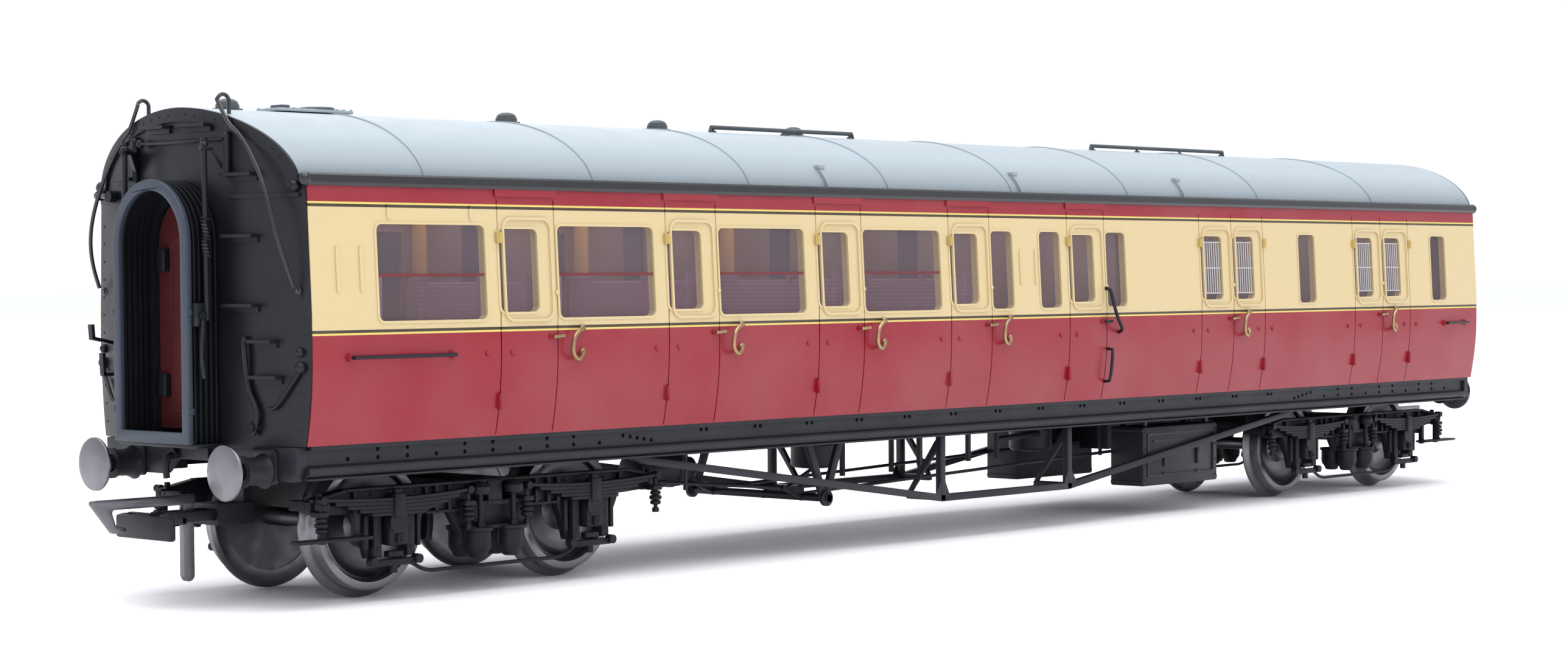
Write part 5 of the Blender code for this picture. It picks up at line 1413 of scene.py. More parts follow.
class COACH_OT_underframe(Operator):
    """Floor, solebars with their footboards, cross members, headstocks and buffer housings"""

    bl_idname = "coach.underframe"
    bl_label = "Underframe"

    def execute(self, context):
        floor = [(end_x(y) - 1.25, y) for y in range(-17, 18)]
        floor += [(-x, y) for x, y in reversed(floor)]
        made = Shape().plate([floor], "xy", FLOOR_UNDER, 16.9)
        for x in range(-66, 70, 12):
            made.slab(x, 0.4, (-15.4, 15.4), (15.2, 16.5), 0.1)
        for y in (-5.2, 5.2):
            made.box((-60, y - 0.35, 15.0), (60, y + 0.35, 16.5), 0.1)
        for end in SIDES:
            made.turned([(0, 13.2), (3.0, 13.2), (3.0, 16.6), (0, 16.6)], (end * BOGIES[1], 0, 0), (0, 0, 1), 24)
            made.box((end * 62.0, -15.2, 15.3), (end * 112.0, 15.2, 16.6), 0.1)
        made.box((44.0, 1.5, 8.2), (58.5, 6.6, 16.5), 0.2)
        made.done("floor_pan", "underframe_black", replaces=["underframe"])
        self.solebars()
        self.headstocks()
        self.rivets()
        return {"FINISHED"}

    def solebars(self):
        reach = HEADSTOCK - 1.1
        section = [(15.3, 16.85), (16.2, 16.85), (16.2, 14.9), (16.35, 14.75), (17.1, 14.7), (17.3, 14.5),
                   (17.3, 14.15),
                   (17.15, 14.0), (16.55, 13.95), (16.5, 13.75), (16.85, 13.6), (16.85, 13.4), (15.3, 13.4)]
        made = Shape()
        for side in SIDES:
            made.loft([[(x, side * y, z) for y, z in section] for x in (-reach, reach)])
            for x in (-102, -87, -60, -40, -20, 0, 20, 40, 60, 87, 102):
                made.slab(x, 0.35, (side * 16.1, side * 17.0), (13.95, 14.72), 0.08)
        made.done("solebars", "underframe_black", angle=20)

    def headstocks(self):
        for end, letter in ENDS:
            made = Shape()
            beam = [(-16.6, 16.85), (-16.6, 14.4), (-15.9, 13.3), (-6.5, 13.3), (-4.5, 14.95), (4.5, 14.95),
                    (6.5, 13.3),
                    (15.9, 13.3), (16.6, 14.4), (16.6, 16.85)]
            holes = [arc(side * BUFFER_Y, BUFFER_Z, BUFFER_BORE, 0, 345, 23) for side in SIDES]
            made.plate([beam] + holes, "yz", HEADSTOCK - 1.2, HEADSTOCK, 0.1)
            for side in SIDES:
                for y in (6.9, 15.6):
                    made.box((HEADSTOCK - 3.4, side * y - 0.3, 13.7), (HEADSTOCK - 0.9, side * y + 0.3, 16.6),
                             0.1)
                centre = (HEADSTOCK - 0.1, side * BUFFER_Y, BUFFER_Z)
                foot = rounded((side * BUFFER_Y - 2.1, BUFFER_Z - 1.35), (side * BUFFER_Y + 2.1, BUFFER_Z + 2.2),
                               0.4, 3)
                hole = arc(side * BUFFER_Y, BUFFER_Z, BUFFER_BORE, 0, 345, 23)
                made.plate([foot, hole], "yz", HEADSTOCK - 0.1, HEADSTOCK + 0.3, 0.08)
                housing = [(BUFFER_BORE, 0), (1.85, 0.25), (1.7, 0.5), (1.45, 1.1), (1.4, 2.7), (1.62, 2.8),
                           (1.62, 3.15), (BUFFER_BORE, 3.15)]
                made.turned(housing, centre, (1, 0, 0), 28)
            made.box((HEADSTOCK - 0.1, -2.3, 15.1), (HEADSTOCK + 0.45, 2.3, 16.6), 0.12)
            for y in (-2.0, 2.0):
                made.box((HEADSTOCK - 12.2, y - 0.32, 13.05), (HEADSTOCK - 6.8, y + 0.32, 16.5), 0.05)
            for y in (-3.9, 3.9):
                made.tube(smoothed([(HEADSTOCK + 0.1, y, 15.4), (HEADSTOCK + 0.9, y, 15.2),
                                    (HEADSTOCK + 1.3, y, 14.2),
                                    (HEADSTOCK + 1.2, y, 13.0)], 4), 0.36, 8)
                made.rod((HEADSTOCK - 0.2, y, 15.45), (HEADSTOCK + 0.5, y, 15.45), 0.6)
            made.moved(at_end(end)).done(f"headstock_{letter}", "underframe_black")

    def rivets(self):
        """Rivets along the solebars: pairs over each bogie, a sloping run beside it, and singles between."""
        spots = []
        for side in SIDES:
            for end in SIDES:
                for i in range(10):
                    x = end * (74 + 3.9 * i)
                    for z in (15.35, 16.2) if i % 3 else (15.35,):
                        spots.append((x, z, side))
                for i in range(5):
                    spots.append((end * (66 + 1.1 * i), 15.3 + 0.17 * i, side))
            for i in range(14):
                x = -58 + 9 * i
                spots += [(x, 16.1, side), (x + 0.9, 16.1, side)]
        points = [((x, side * 16.19, z), (0, side, 0)) for x, z, side in spots]
        # the rivet heads' near-black finish is painted shade, darker than the solebar they sit on
        studs("solebar_rivets", points, 0.24, 0.5, "rivet_black")


class COACH_OT_truss(Operator):
    """Angle-iron trussing under each side, with its gussets and bolts"""

    bl_idname = "coach.truss"
    bl_label = "Trussing"

    def execute(self, context):
        for side in SIDES:
            name = f"truss_{side_label(side)}"
            low, high = box_mm(name)
            foot, top, end = low[2], high[2], high[0] - 3.0
            bar, post, y = 0.9, 13.2, 14.6
            slope = (top - foot - bar) / (end - post)
            near, far = sorted((side * (y - 0.45), side * (y + 0.45)))
            made = Shape()
            for turn in SIDES:
                slant = [(turn * post, foot), (turn * end, top - bar), (turn * (end + 2.6), top),
                         (turn * (post + (top - foot - bar) / slope), top), (turn * post, foot + bar)]
                made.plate([slant], "xz", near, far, 0.1)
                made.slab(turn * post, 0.5, (near, far), (foot + 0.05, top), 0.1)
                made.slab(turn * post, 0.45, (side * 9.2, side * y), (foot + 0.1, foot + bar), 0.1)
                brace = [(side * 9.3, foot + 0.3), (side * 9.3, foot + 1.1), (side * 13.9, top - 0.6),
                         (side * 14.4, top - 1.4)]
                made.plate([brace], "yz", turn * post - 0.3, turn * post + 0.3, 0.05)
                gusset = [(turn * (post - 1.6), foot + 0.1), (turn * (post + 1.8), foot + 0.5),
                          (turn * (post + 0.4), foot + 2.6),
                          (turn * (post - 0.4), foot + 2.6)]
                made.plate([gusset], "xz", *sorted((side * (y + 0.4), side * (y + 0.44))))
                for dx, dz in ((-0.9, 0.45), (0.0, 1.6), (0.9, 0.6)):
                    spot = (turn * (post + dx), side * (y + 0.42), foot + dz)
                    made.ball(spot, 0.22, (1, 0.15, 1), 8)
            made.box((-post - 0.2, near, foot), (post + 0.2, far, foot + bar), 0.1)
            made.done(f"trussing_{side_label(side)}", "underframe_black", replaces=[name])
        return {"FINISHED"}


class COACH_OT_boxes(Operator):
    """Battery boxes with framed doors, latches and hangers"""

    bl_idname = "coach.boxes"
    bl_label = "Battery boxes"

    def execute(self, context):
        for side in SIDES:
            name = f"battery_box_{side_label(side)}"
            low, high = box_mm(name)
            top = 12.4
            made = Shape().box((low[0], low[1], low[2]), (high[0], high[1], top), 0.22)
            face = high[1] if side > 0 else low[1]
            near, far = sorted((face - side * 0.1, face + side * 0.14))
            a, b = (low[0] + 0.9, low[2] + 1.2), (high[0] - 0.9, top - 0.9)
            made.plate([rounded(a, b, 0.3, 3),
                        rounded((a[0] + 0.35, a[1] + 0.35), (b[0] - 0.35, b[1] - 0.35), 0.2, 3)],
                       "xz", near, far)
            made.plate([rounded((a[0] + 1.4, b[1] - 1.3), (b[0] - 3.0, b[1] - 0.95), 0.1, 2)], "xz", near, far)
            for x in (low[0] + 5.0, high[0] - 5.0):
                made.box((x - 0.32, face - 0.3, low[2] + 2.6), (x + 0.32, face + 0.3, low[2] + 4.8), 0.1)
                made.box((x - 0.5, face - 0.22, low[2] + 1.3), (x + 0.5, face + 0.22, low[2] + 1.7), 0.08)
            for x in (low[0] + 1.6, high[0] - 1.6):
                for y in (low[1] + 1.0, high[1] - 1.0):
                    made.box((x - 0.35, y - 0.35, top - 0.2), (x + 0.35, y + 0.35, high[2]), 0.08)
            for z in (low[2] + 0.5, top - 0.5):
                made.box((low[0] - 0.12, low[1] + 0.1, z - 0.2), (high[0] + 0.12, high[1] - 0.1, z + 0.2), 0.06)
            made.done(f"battery_box_shell_{side_label(side)}", "underframe_black", replaces=[name])
            spots = [((x, face, z), (0, side, 0)) for x in (low[0] + 0.45, high[0] - 0.45)
                     for z in (5.0, 7.2, 9.4, 11.6)]
            studs(f"battery_box_rivets_{side_label(side)}", spots, 0.17, 0.6, "underframe_black")
        return {"FINISHED"}


class COACH_OT_brake_gear(Operator):
    """Vacuum cylinders, the dynamo, the brake cross shaft with its hangers and pull rods"""

    bl_idname = "coach.brake_gear"
    bl_label = "Brake gear"

    def execute(self, context):
        for number in (1, 2):
            low, high = box_mm(f"vacuum_cylinder_{number}")
            x, r, z = (low[0] + high[0]) / 2, (high[0] - low[0]) / 2, low[2]
            profile = [(0, z), (r * 0.5, z), (r * 0.9, z + 0.15), (r, z + 0.5), (r, z + 2.6),
                       (r + 0.02, z + 2.7),
                       (r + 0.02,
                        z + 3.0), (r * 0.96, z + 3.1), (r * 0.94, z + 5.2), (r * 0.8, z + 5.9), (1.2, z + 6.2),
                       (1.1, high[2]), (0, high[2])]
            made = Shape().turned(profile, (x, 0, 0), (0, 0, 1), 32)
            made.rod((x, 0, z + 0.2), (x, 0, z), 0.6)
            for turn in SIDES:
                made.slab(x, 0.5, (turn * 2.8, turn * 4.0), (z + 3.4, FLOOR_UNDER), 0.1)
            made.done(f"brake_cylinder_{number}", "underframe_black", replaces=[f"vacuum_cylinder_{number}"])
        self.dynamo()
        self.shaft()
        return {"FINISHED"}

    def dynamo(self):
        low, high = box_mm("dynamo")
        y, z = (low[1] + high[1]) / 2, low[2] + 2.3
        long = high[0] - low[0] - 1.6
        profile = [(0, 0), (1.5, 0), (2.1, 0.3), (2.3, 0.8), (2.3, long - 1.0), (2.1, long - 0.4), (1.4, long),
                   (0.5, long),
                   (0.5,
                    long + 0.3), (1.25, long + 0.4), (1.05, long + 0.9), (1.25, long + 1.4), (0, long + 1.5)]
        made = Shape().turned(profile, (low[0], y, z), (1, 0, 0), 28)
        for x in (-49.6, -44.6):
            made.slab(x, 0.3, (y - 0.7, y + 0.7), (z, FLOOR_UNDER), 0.1)
        for x in (low[0] + 2.0, low[0] + 6.6):
            made.turned([(2.25, 0), (2.38, 0.05), (2.38, 0.4), (2.25, 0.45)], (x, y, z), (1, 0, 0), 28)
        made.done("dynamo_body", "underframe_black", replaces=["dynamo"])

    def shaft(self):
        low, high = box_mm("brake_shaft")
        x, z, top = (low[0] + high[0]) / 2, 6.4, high[2]
        made = Shape().rod((x, low[1], z), (x, high[1], z), 0.5, 16)
        for side in SIDES:
            near, far = sorted((side * 10.9, side * 11.5))
            for turn in SIDES:
                leg = [(x - 0.55 * turn, z - 0.4), (x + 0.55 * turn, z - 0.4), (x + turn * 4.7, top),
                       (x + turn * 3.6, top)]
                made.plate([leg], "xz", near, far, 0.06)
            made.turned([(0, 0), (1.0, 0), (1.0, 0.5), (0.6, 0.6), (0.6, 0.8), (0, 0.8)], (x, side * 11.3, z),
                        (0, side, 0), 20)
        for y, dx, dz in ((-1.2, 3.4, 0.3), (-7.6, -3.8, 1.3), (7.6, -3.8, 1.3)):
            arm = [(x - 0.4, z - 0.5), (x + 0.4, z - 0.5), (x + dx + 0.25, z + dz - 0.35),
                   (x + dx + 0.25, z + dz + 0.35), (x, z + 0.6)]
            made.plate([arm], "xz", y - 0.22, y + 0.22, 0.05)
            made.rod((x + dx, y - 0.5, z + dz), (x + dx, y + 0.5, z + dz), 0.28)
        made.rod((x + 3.4, -1.2, z + 0.3), (-21.5, -1.2, 9.6), 0.25)
        for y in (-7.6, 7.6):
            made.tube([(x - 3.8, y, z + 1.3), (-56.5, y, 9.6)], 0.22, 8)
            made.tube([(x, y, z + 0.4), (56.5, y, 9.6)], 0.22, 8)
            for hang in (-52.0, 30.0, 52.0):
                made.slab(hang, 0.2, (y - 0.2, y + 0.2), (8.4, FLOOR_UNDER), 0.05)
        # the safety loops and levers seen between the trussing's posts
        for x0 in (-8.0, 2.0, 8.0):
            made.slab(x0, 0.3, (6.4, 7.0), (7.0, FLOOR_UNDER), 0.08)
            made.slab(x0, 0.3, (-7.0, -6.4), (9.0, FLOOR_UNDER), 0.08)
        made.rod((8.0, -6.7, 11.6), (24.0, -2.0, 11.6), 0.4)
        made.done("brake_rigging", "underframe_black", replaces=["brake_shaft"])


class COACH_OT_buffers(Operator):
    """Turned steel buffers on their shanks"""

    bl_idname = "coach.buffers"
    bl_label = "Buffers"

    def execute(self, context):
        profile = [(0, 0.06), (1.2, 0.03), (2.0, -0.03), (2.55, -0.12), (2.78, -0.22), (2.85, -0.34),
                   (2.85, -0.48),
                   (2.7, -0.56), (1.5, -0.68), (0.85, -0.95), (0.8, -1.05), (0.8, -5.9), (0, -5.9)]
        profile = [(r, z - 0.06) for r, z in profile]
        for end, letter in ENDS:
            for side in SIDES:
                name = f"buffer_{letter}_{side_label(side)}"
                made = Shape().turned(profile, (end * BUFFER_FACE, side * BUFFER_Y, BUFFER_Z), (end, 0, 0), 48)
                made.done(f"buffer_head_{letter}_{side_label(side)}", "buffer_steel", name, replaces=[name])
        return {"FINISHED"}


# ---- bogies ----
AXLE_X = AXLES[3] - BOGIES[1]
WHEEL_BACK = 7.3
FRAME_IN, FRAME_OUT = 12.0, 13.6
FRAME_HALF = 24.4
SPRING_HALF = 9.8


class COACH_OT_bogies(Operator):
    """Bogie frames: side plates, leaf springs, axleboxes, bolster pots, hangers, steps and tie rods"""

    bl_idname = "coach.bogies"
    bl_label = "Bogies"

    def execute(self, context):
        for end, letter in ENDS:
            body = f"bogie_{letter}"
            move = at_end(end, BOGIES[1])
            both = (Matrix.Identity(4), FLIP["y"])
            frame_shape = Shape()
            for turn in both:
                frame_shape.take(self.side_frame().moved(turn).mesh)
            self.middle(frame_shape)
            frame_shape.moved(move).done(f"bogie_side_frames_{letter}", "bogie_plastic", body,
                                         replaces=[f"bogie_frame_{letter}"])
            for build, name in ((self.axleboxes, "axleboxes"), (self.hangers, "spring_hangers"),
                                (self.pots, "bolster_springs"),
                                (self.steps_and_rods, "bogie_steps_and_rods")):
                gear = Shape()
                for turn in both:
                    gear.take(build().moved(turn).mesh)
                gear.moved(move).done(f"{name}_{letter}", "bogie_plastic", body)
            self.springs(end, letter)
            self.rivets(end, letter)
            self.pin(letter)
        return {"FINISHED"}

    def side_frame(self):
        """One side's plate, deep at the axleboxes, with its top and bottom flanges."""
        a = AXLE_X
        right = [(FRAME_HALF, 11.2), (FRAME_HALF, 9.6), (a + 5.0, 9.3), (a + 3.4, 6.0), (a + 3.0, 4.6),
                 (a + 1.7, 4.6),
                 (a + 1.7,
                  9.4), (a - 1.7,
                         9.4), (a - 1.7, 4.6), (a - 3.0, 4.6), (a - 3.4, 6.0), (a - 4.4, 8.8), (6.0, 8.8),
                 (4.6, 6.6)]
        outline = [(-FRAME_HALF + 4.2, 12.0),
                   (FRAME_HALF - 4.2, 12.0)] + right + [(-x, z) for x, z in reversed(right)]
        made = Shape().plate([outline], "xz", FRAME_IN, FRAME_OUT - 0.6, 0.08)
        made.box((-FRAME_HALF + 4.2, FRAME_IN + 0.1, 11.7), (FRAME_HALF - 4.2, FRAME_OUT - 0.05, 12.05), 0.08)
        for end in SIDES:
            made.plate([[(end * (FRAME_HALF - 4.4), 11.7), (end * FRAME_HALF, 10.9), (end * FRAME_HALF, 11.2),
                         (end * (FRAME_HALF - 4.4), 12.0)]], "xz", FRAME_IN + 0.1, FRAME_OUT - 0.05)
            for x in (6.2, 8.0, a - 4.6, a + 4.9, FRAME_HALF - 1.0):
                made.slab(end * x, 0.22, (FRAME_OUT - 0.7, FRAME_OUT - 0.1), (8.9 if x < 12 else 9.5, 11.8),
                          0.06)
            made.box((end * (a - 4.6), FRAME_OUT - 0.7, 8.8), (end * 4.8, FRAME_OUT - 0.1, 9.1), 0.05)
        return made

    def middle(self, made):
        """The bolster across the bogie, its pivot boss and the end stretchers."""
        made.box((-3.4, -FRAME_OUT + 0.6, 9.3), (3.4, FRAME_OUT - 0.6, 12.0), 0.25)
        made.turned([(1.4, 11.8), (3.0, 11.8), (2.9, 13.2), (1.4, 13.2)], (0, 0, 0), (0, 0, 1), 28)
        for side in SIDES:
            for end in SIDES:
                made.box((end * (FRAME_HALF - 0.9), side * 9.4, 9.9),
                         (end * FRAME_HALF, side * FRAME_IN + side * 0.3, 11.0), 0.15)

    def axleboxes(self):
        made = Shape()
        for x in (-AXLE_X, AXLE_X):
            made.slab(x, 1.25, (FRAME_OUT - 0.7, FRAME_OUT + 0.9), (5.9, 8.3), 0.28)
            made.rod((x, FRAME_OUT - 0.6, 8.3), (x, FRAME_OUT + 1.0, 8.3), 1.22, 24)
            made.slab(x, 0.5, (FRAME_OUT + 0.6, FRAME_OUT + 1.35), (6.1, 7.1), 0.18)
            made.ball((x, FRAME_OUT + 1.3, 6.6), 0.3, steps=8)
            for turn in SIDES:
                made.slab(x + turn * 2.2, 0.55, (FRAME_OUT - 0.7, FRAME_OUT + 0.15), (4.7, 9.2), 0.15)
                made.slab(x + turn * 3.5, 0.25, (FRAME_OUT - 0.7, FRAME_OUT - 0.1), (5.6, 9.2), 0.1)
                made.rod((x + turn * 3.0, FRAME_OUT - 0.3, 4.3), (x + turn * 3.0, FRAME_OUT + 0.6, 4.3), 0.5, 14)
                for z in (5.6, 7.4):
                    made.ball((x + turn * 2.2, FRAME_OUT + 0.15, z), 0.22, (1, 0.5, 1), 8)
            made.slab(x, 3.0, (FRAME_OUT - 0.6, FRAME_OUT + 0.3), (3.75, 4.45), 0.14)
            made.slab(x, 1.0, (FRAME_OUT - 0.5, FRAME_OUT + 0.4), (4.7, 5.3), 0.12)
            made.slab(x, 0.75, (FRAME_OUT - 0.1, FRAME_OUT + 1.1), (8.9, 9.6), 0.12)
        return made

    def springs(self, end, letter):
        """Leaf springs: the long leaf on top, each one under it shorter, with the buckle over the axlebox."""
        leaves = sizes().leaves
        made = Shape()
        thick = 1.9 / leaves
        for i in range(leaves):
            half = SPRING_HALF * (1 - 0.8 * i / leaves)
            rise = 0.0042
            rings = []
            for k in range(13):
                x = half * (k / 6 - 1)
                z = 11.15 - thick * i + rise * x * x - 0.25
                rings.append([(x, FRAME_OUT + y, z + h)
                              for y, h in ((0.0, -thick + 0.05), (0.95, -thick + 0.05), (0.95, 0), (0.0, 0))])
            made.loft(rings)
        made.box((-0.7, FRAME_OUT - 0.1, 8.75), (0.7, FRAME_OUT + 1.2, 11.35), 0.15)
        made.box((-0.45, FRAME_OUT + 0.3, 11.2), (0.45, FRAME_OUT + 0.9, 11.8), 0.1)
        for turn in SIDES:
            made.rod((turn * SPRING_HALF, FRAME_OUT + 0.05, 11.1), (turn * SPRING_HALF, FRAME_OUT + 1.05, 11.1),
                     0.42, 14)
        made.copied(Matrix.Diagonal((1, -1, 1, 1)))
        obj = copies(made, f"leaf_springs_{letter}", [(AXLE_X, 0, 0), (-AXLE_X, 0, 0)], "bogie_plastic",
                     f"bogie_{letter}")
        obj.data.transform(Matrix.Translation((end * BOGIES[1] * MM, 0, 0)))

    def hangers(self):
        """The bolts and rubber discs under the ends of each spring."""
        made = Shape()
        for x in (-AXLE_X, AXLE_X):
            for turn in SIDES:
                spot = x + turn * SPRING_HALF
                y = FRAME_OUT + 0.45
                made.slab(spot, 0.7, (FRAME_OUT - 0.5, y + 0.45), (9.4, 9.95), 0.1)
                made.rod((spot, y, 7.3), (spot, y, 11.2), 0.25, 10)
                for z, r in ((9.1, 0.62), (8.55, 0.72), (8.0, 0.62)):
                    made.turned([(0, -0.24), (r - 0.12, -0.24), (r, -0.12), (r, 0.12), (r - 0.12, 0.24),
                                 (0, 0.24)], (spot, y, z),
                                (0, 0, 1), 18)
                made.rod((spot, y, 6.9), (spot, y, 7.4), 0.42, 6)
        return made

    def pots(self):
        """The bolster's springs in their bowls, with the two suspension bolts and their caps."""
        made = Shape()
        y = FRAME_OUT - 0.2
        for x in (-2.35, 2.35):
            bowl = [(0, 3.6), (0.7, 3.6), (0.95, 3.75), (1.05, 4.1), (1.45, 4.6), (1.55, 5.2), (1.5, 6.5),
                    (1.75, 6.6),
                    (1.75, 6.95), (0, 6.95)]
            made.turned(bowl, (x, y, 0), (0, 0, 1), 24)
            made.turned(bowl, (x, y - 2.6, 0), (0, 0, 1), 24)
            made.rod((x, y + 0.5, 6.9), (x, y + 0.5, 10.9), 0.3, 12)
            made.turned([(0, 10.5), (0.95, 10.5), (1.1, 10.8), (1.1, 11.3), (0.75, 11.75), (0, 11.85)],
                        (x, y + 0.5, 0), (0, 0, 1), 20)
            made.rod((x, y + 0.5, 6.8), (x, y + 0.5, 7.5), 0.55, 6)
        made.box((-4.4, FRAME_IN - 1.2, 6.7), (4.4, FRAME_OUT + 0.3, 7.1), 0.12)
        made.box((-4.6, FRAME_OUT - 0.5, 9.2), (4.6, FRAME_OUT + 0.2, 9.75), 0.12)
        made.box((-1.0, FRAME_OUT - 0.6, 9.6), (1.0, FRAME_OUT + 0.1, 11.9), 0.1)
        return made

    def steps_and_rods(self):
        """The footstep at the coupling end, lifeguards and the tie rod slung between the axleboxes."""
        made = Shape()
        y = FRAME_OUT
        made.box((AXLE_X + 3.9, y - 0.1, 6.85), (FRAME_HALF + 3.0, y + 1.55, 7.2), 0.1)
        for x in (FRAME_HALF - 0.9, AXLE_X + 5.2):
            made.slab(x, 0.35, (y - 0.2, y + 0.5), (6.6, 10.4), 0.12)
        made.box((FRAME_HALF - 1.6, y - 0.2, 10.0), (FRAME_HALF - 0.2, y + 0.75, 10.9), 0.15)
        made.ball((FRAME_HALF - 0.9, y + 0.55, 10.4), 0.5, steps=10)
        rod = [(-AXLE_X - 0.2, y - 0.1, 4.1), (-AXLE_X + 2.0, y - 0.1, 4.0), (-AXLE_X + 4.4, y - 0.1, 2.95),
               (-6.0, y - 0.1,
                2.85), (6.0, y - 0.1, 2.85), (AXLE_X - 4.4, y - 0.1, 2.95), (AXLE_X - 2.0, y - 0.1, 4.0),
               (AXLE_X + 0.2, y - 0.1, 4.1)]
        made.tube(smoothed(rod, 4), 0.22, 8)
        for x in (-AXLE_X, AXLE_X):
            made.rod((x, y - 0.1, 3.0), (x, y - 0.1, 4.3), 0.42, 12)
        # brake blocks hung inside the wheels' treads
        for x in (-AXLE_X, AXLE_X):
            for turn in SIDES:
                if turn * x > 0:
                    continue
                block = arc(x, AXLE_Z, 7.75, 180 - 16 if turn < 0 else -16, 180 + 16 if turn < 0 else 16, 8)
                block += arc(x, AXLE_Z, 8.6, 180 + 16 if turn < 0 else 16, 180 - 16 if turn < 0 else -16, 8)
                made.plate([block], "xz", 8.3, 9.8, 0.1)
                made.slab(x + turn * 8.3, 0.3, (9.1, 9.7), (7.6, 11.9), 0.08)
                made.slab(x + turn * 8.3, 0.3, (9.1, FRAME_IN + 0.2), (11.0, 11.6), 0.08)
        return made

    def rivets(self, end, letter):
        spots = []
        for side in SIDES:
            for turn in SIDES:
                for x in (8.6, 10.6, 12.6, 16.6, 18.4, 20.0, 21.6, 23.2):
                    z = 11.3 if x < 20 else 10.6
                    spots.append(((end * BOGIES[1] + turn * x, side * (FRAME_OUT - 0.6), z), (0, side, 0)))
                for x in (-3.6, -1.2, 1.2, 3.6):
                    if turn > 0:
                        spots.append(((end * BOGIES[1] + x, side * (FRAME_OUT + 0.18), 9.48), (0, side, 0)))
        studs(f"bogie_rivets_{letter}", spots, 0.2, 0.7, "bogie_plastic", f"bogie_{letter}")

    def pin(self, letter):
        name = f"bogie_pivot_pin_{letter}"
        low, high = box_mm(name)
        profile = [(0, high[2]), (1.2, high[2]), (1.2, 9.0), (2.1, 9.0), (2.28, 8.85), (2.28, 8.45), (2.1, 8.25),
                   (1.0, 8.2), (0.9, 8.4), (0, 8.4)]
        made = Shape().turned(profile[::-1], ((low[0] + high[0]) / 2, 0, 0), (0, 0, 1), 32)
        made.done(f"pivot_pin_{letter}", "wheel_steel", "coach", replaces=[name])


class COACH_OT_wheelsets(Operator):
    """Blackened wheels with bright treads and dished centres, on plain axles"""

    bl_idname = "coach.wheelsets"
    bl_label = "Wheelsets"

    def execute(self, context):
        disc = [(0.98, 0.0), (2.2, 0.0), (4.9, 0.25), (6.0, 0.15), (6.0, 1.85), (5.6, 2.05), (5.25, 1.7),
                (4.6, 1.2), (3.6, 1.05),
                (2.6, 1.2), (2.15, 1.7), (2.0, 2.1), (0.98, 2.15)]
        rim = [(5.95, 0.05), (7.3, 0.0), (7.62, 0.08), (7.82, 0.25), (7.85, 0.42), (7.7, 0.62), (7.3, 0.78),
               (7.12, 0.95), (7.05, 1.15),
               (6.97, 2.4), (6.88, 2.52), (6.75, 2.55), (6.1, 2.55), (6.0, 2.45), (5.95, 1.8)]
        for number, x in enumerate(AXLES, 1):
            body = f"wheelset_{number}"
            for side in SIDES:
                origin = (x, side * WHEEL_BACK, AXLE_Z)
                label = side_label(side)
                made = Shape().turned(disc, origin, (0, side, 0), 64)
                made.done(f"wheel_disc_{number}_{label}", "wheel_steel", body,
                          replaces=[f"wheel_{number}_{label}"])
                Shape().turned(rim, origin, (0, side, 0),
                               72).done(f"wheel_tyre_{number}_{label}", "wheel_rim_steel", body)
            axle = [(0, -12.8), (0.3, -12.55), (0.55, -12.4), (0.55, -11.9), (0.95, -11.85), (1.0, -11.7),
                    (1.0, -9.6), (1.25, -9.5),
                    (1.25, -9.0), (1.0, -8.9), (1.0, -4), (0.9, -3.8)]
            axle += [(r, -z) for r, z in reversed(axle)]
            made = Shape().turned(axle, (x, 0, AXLE_Z), (0, 1, 0), 24)
            made.done(f"axle_rod_{number}", "wheel_steel", body, replaces=[f"axle_{number}"])
        return {"FINISHED"}


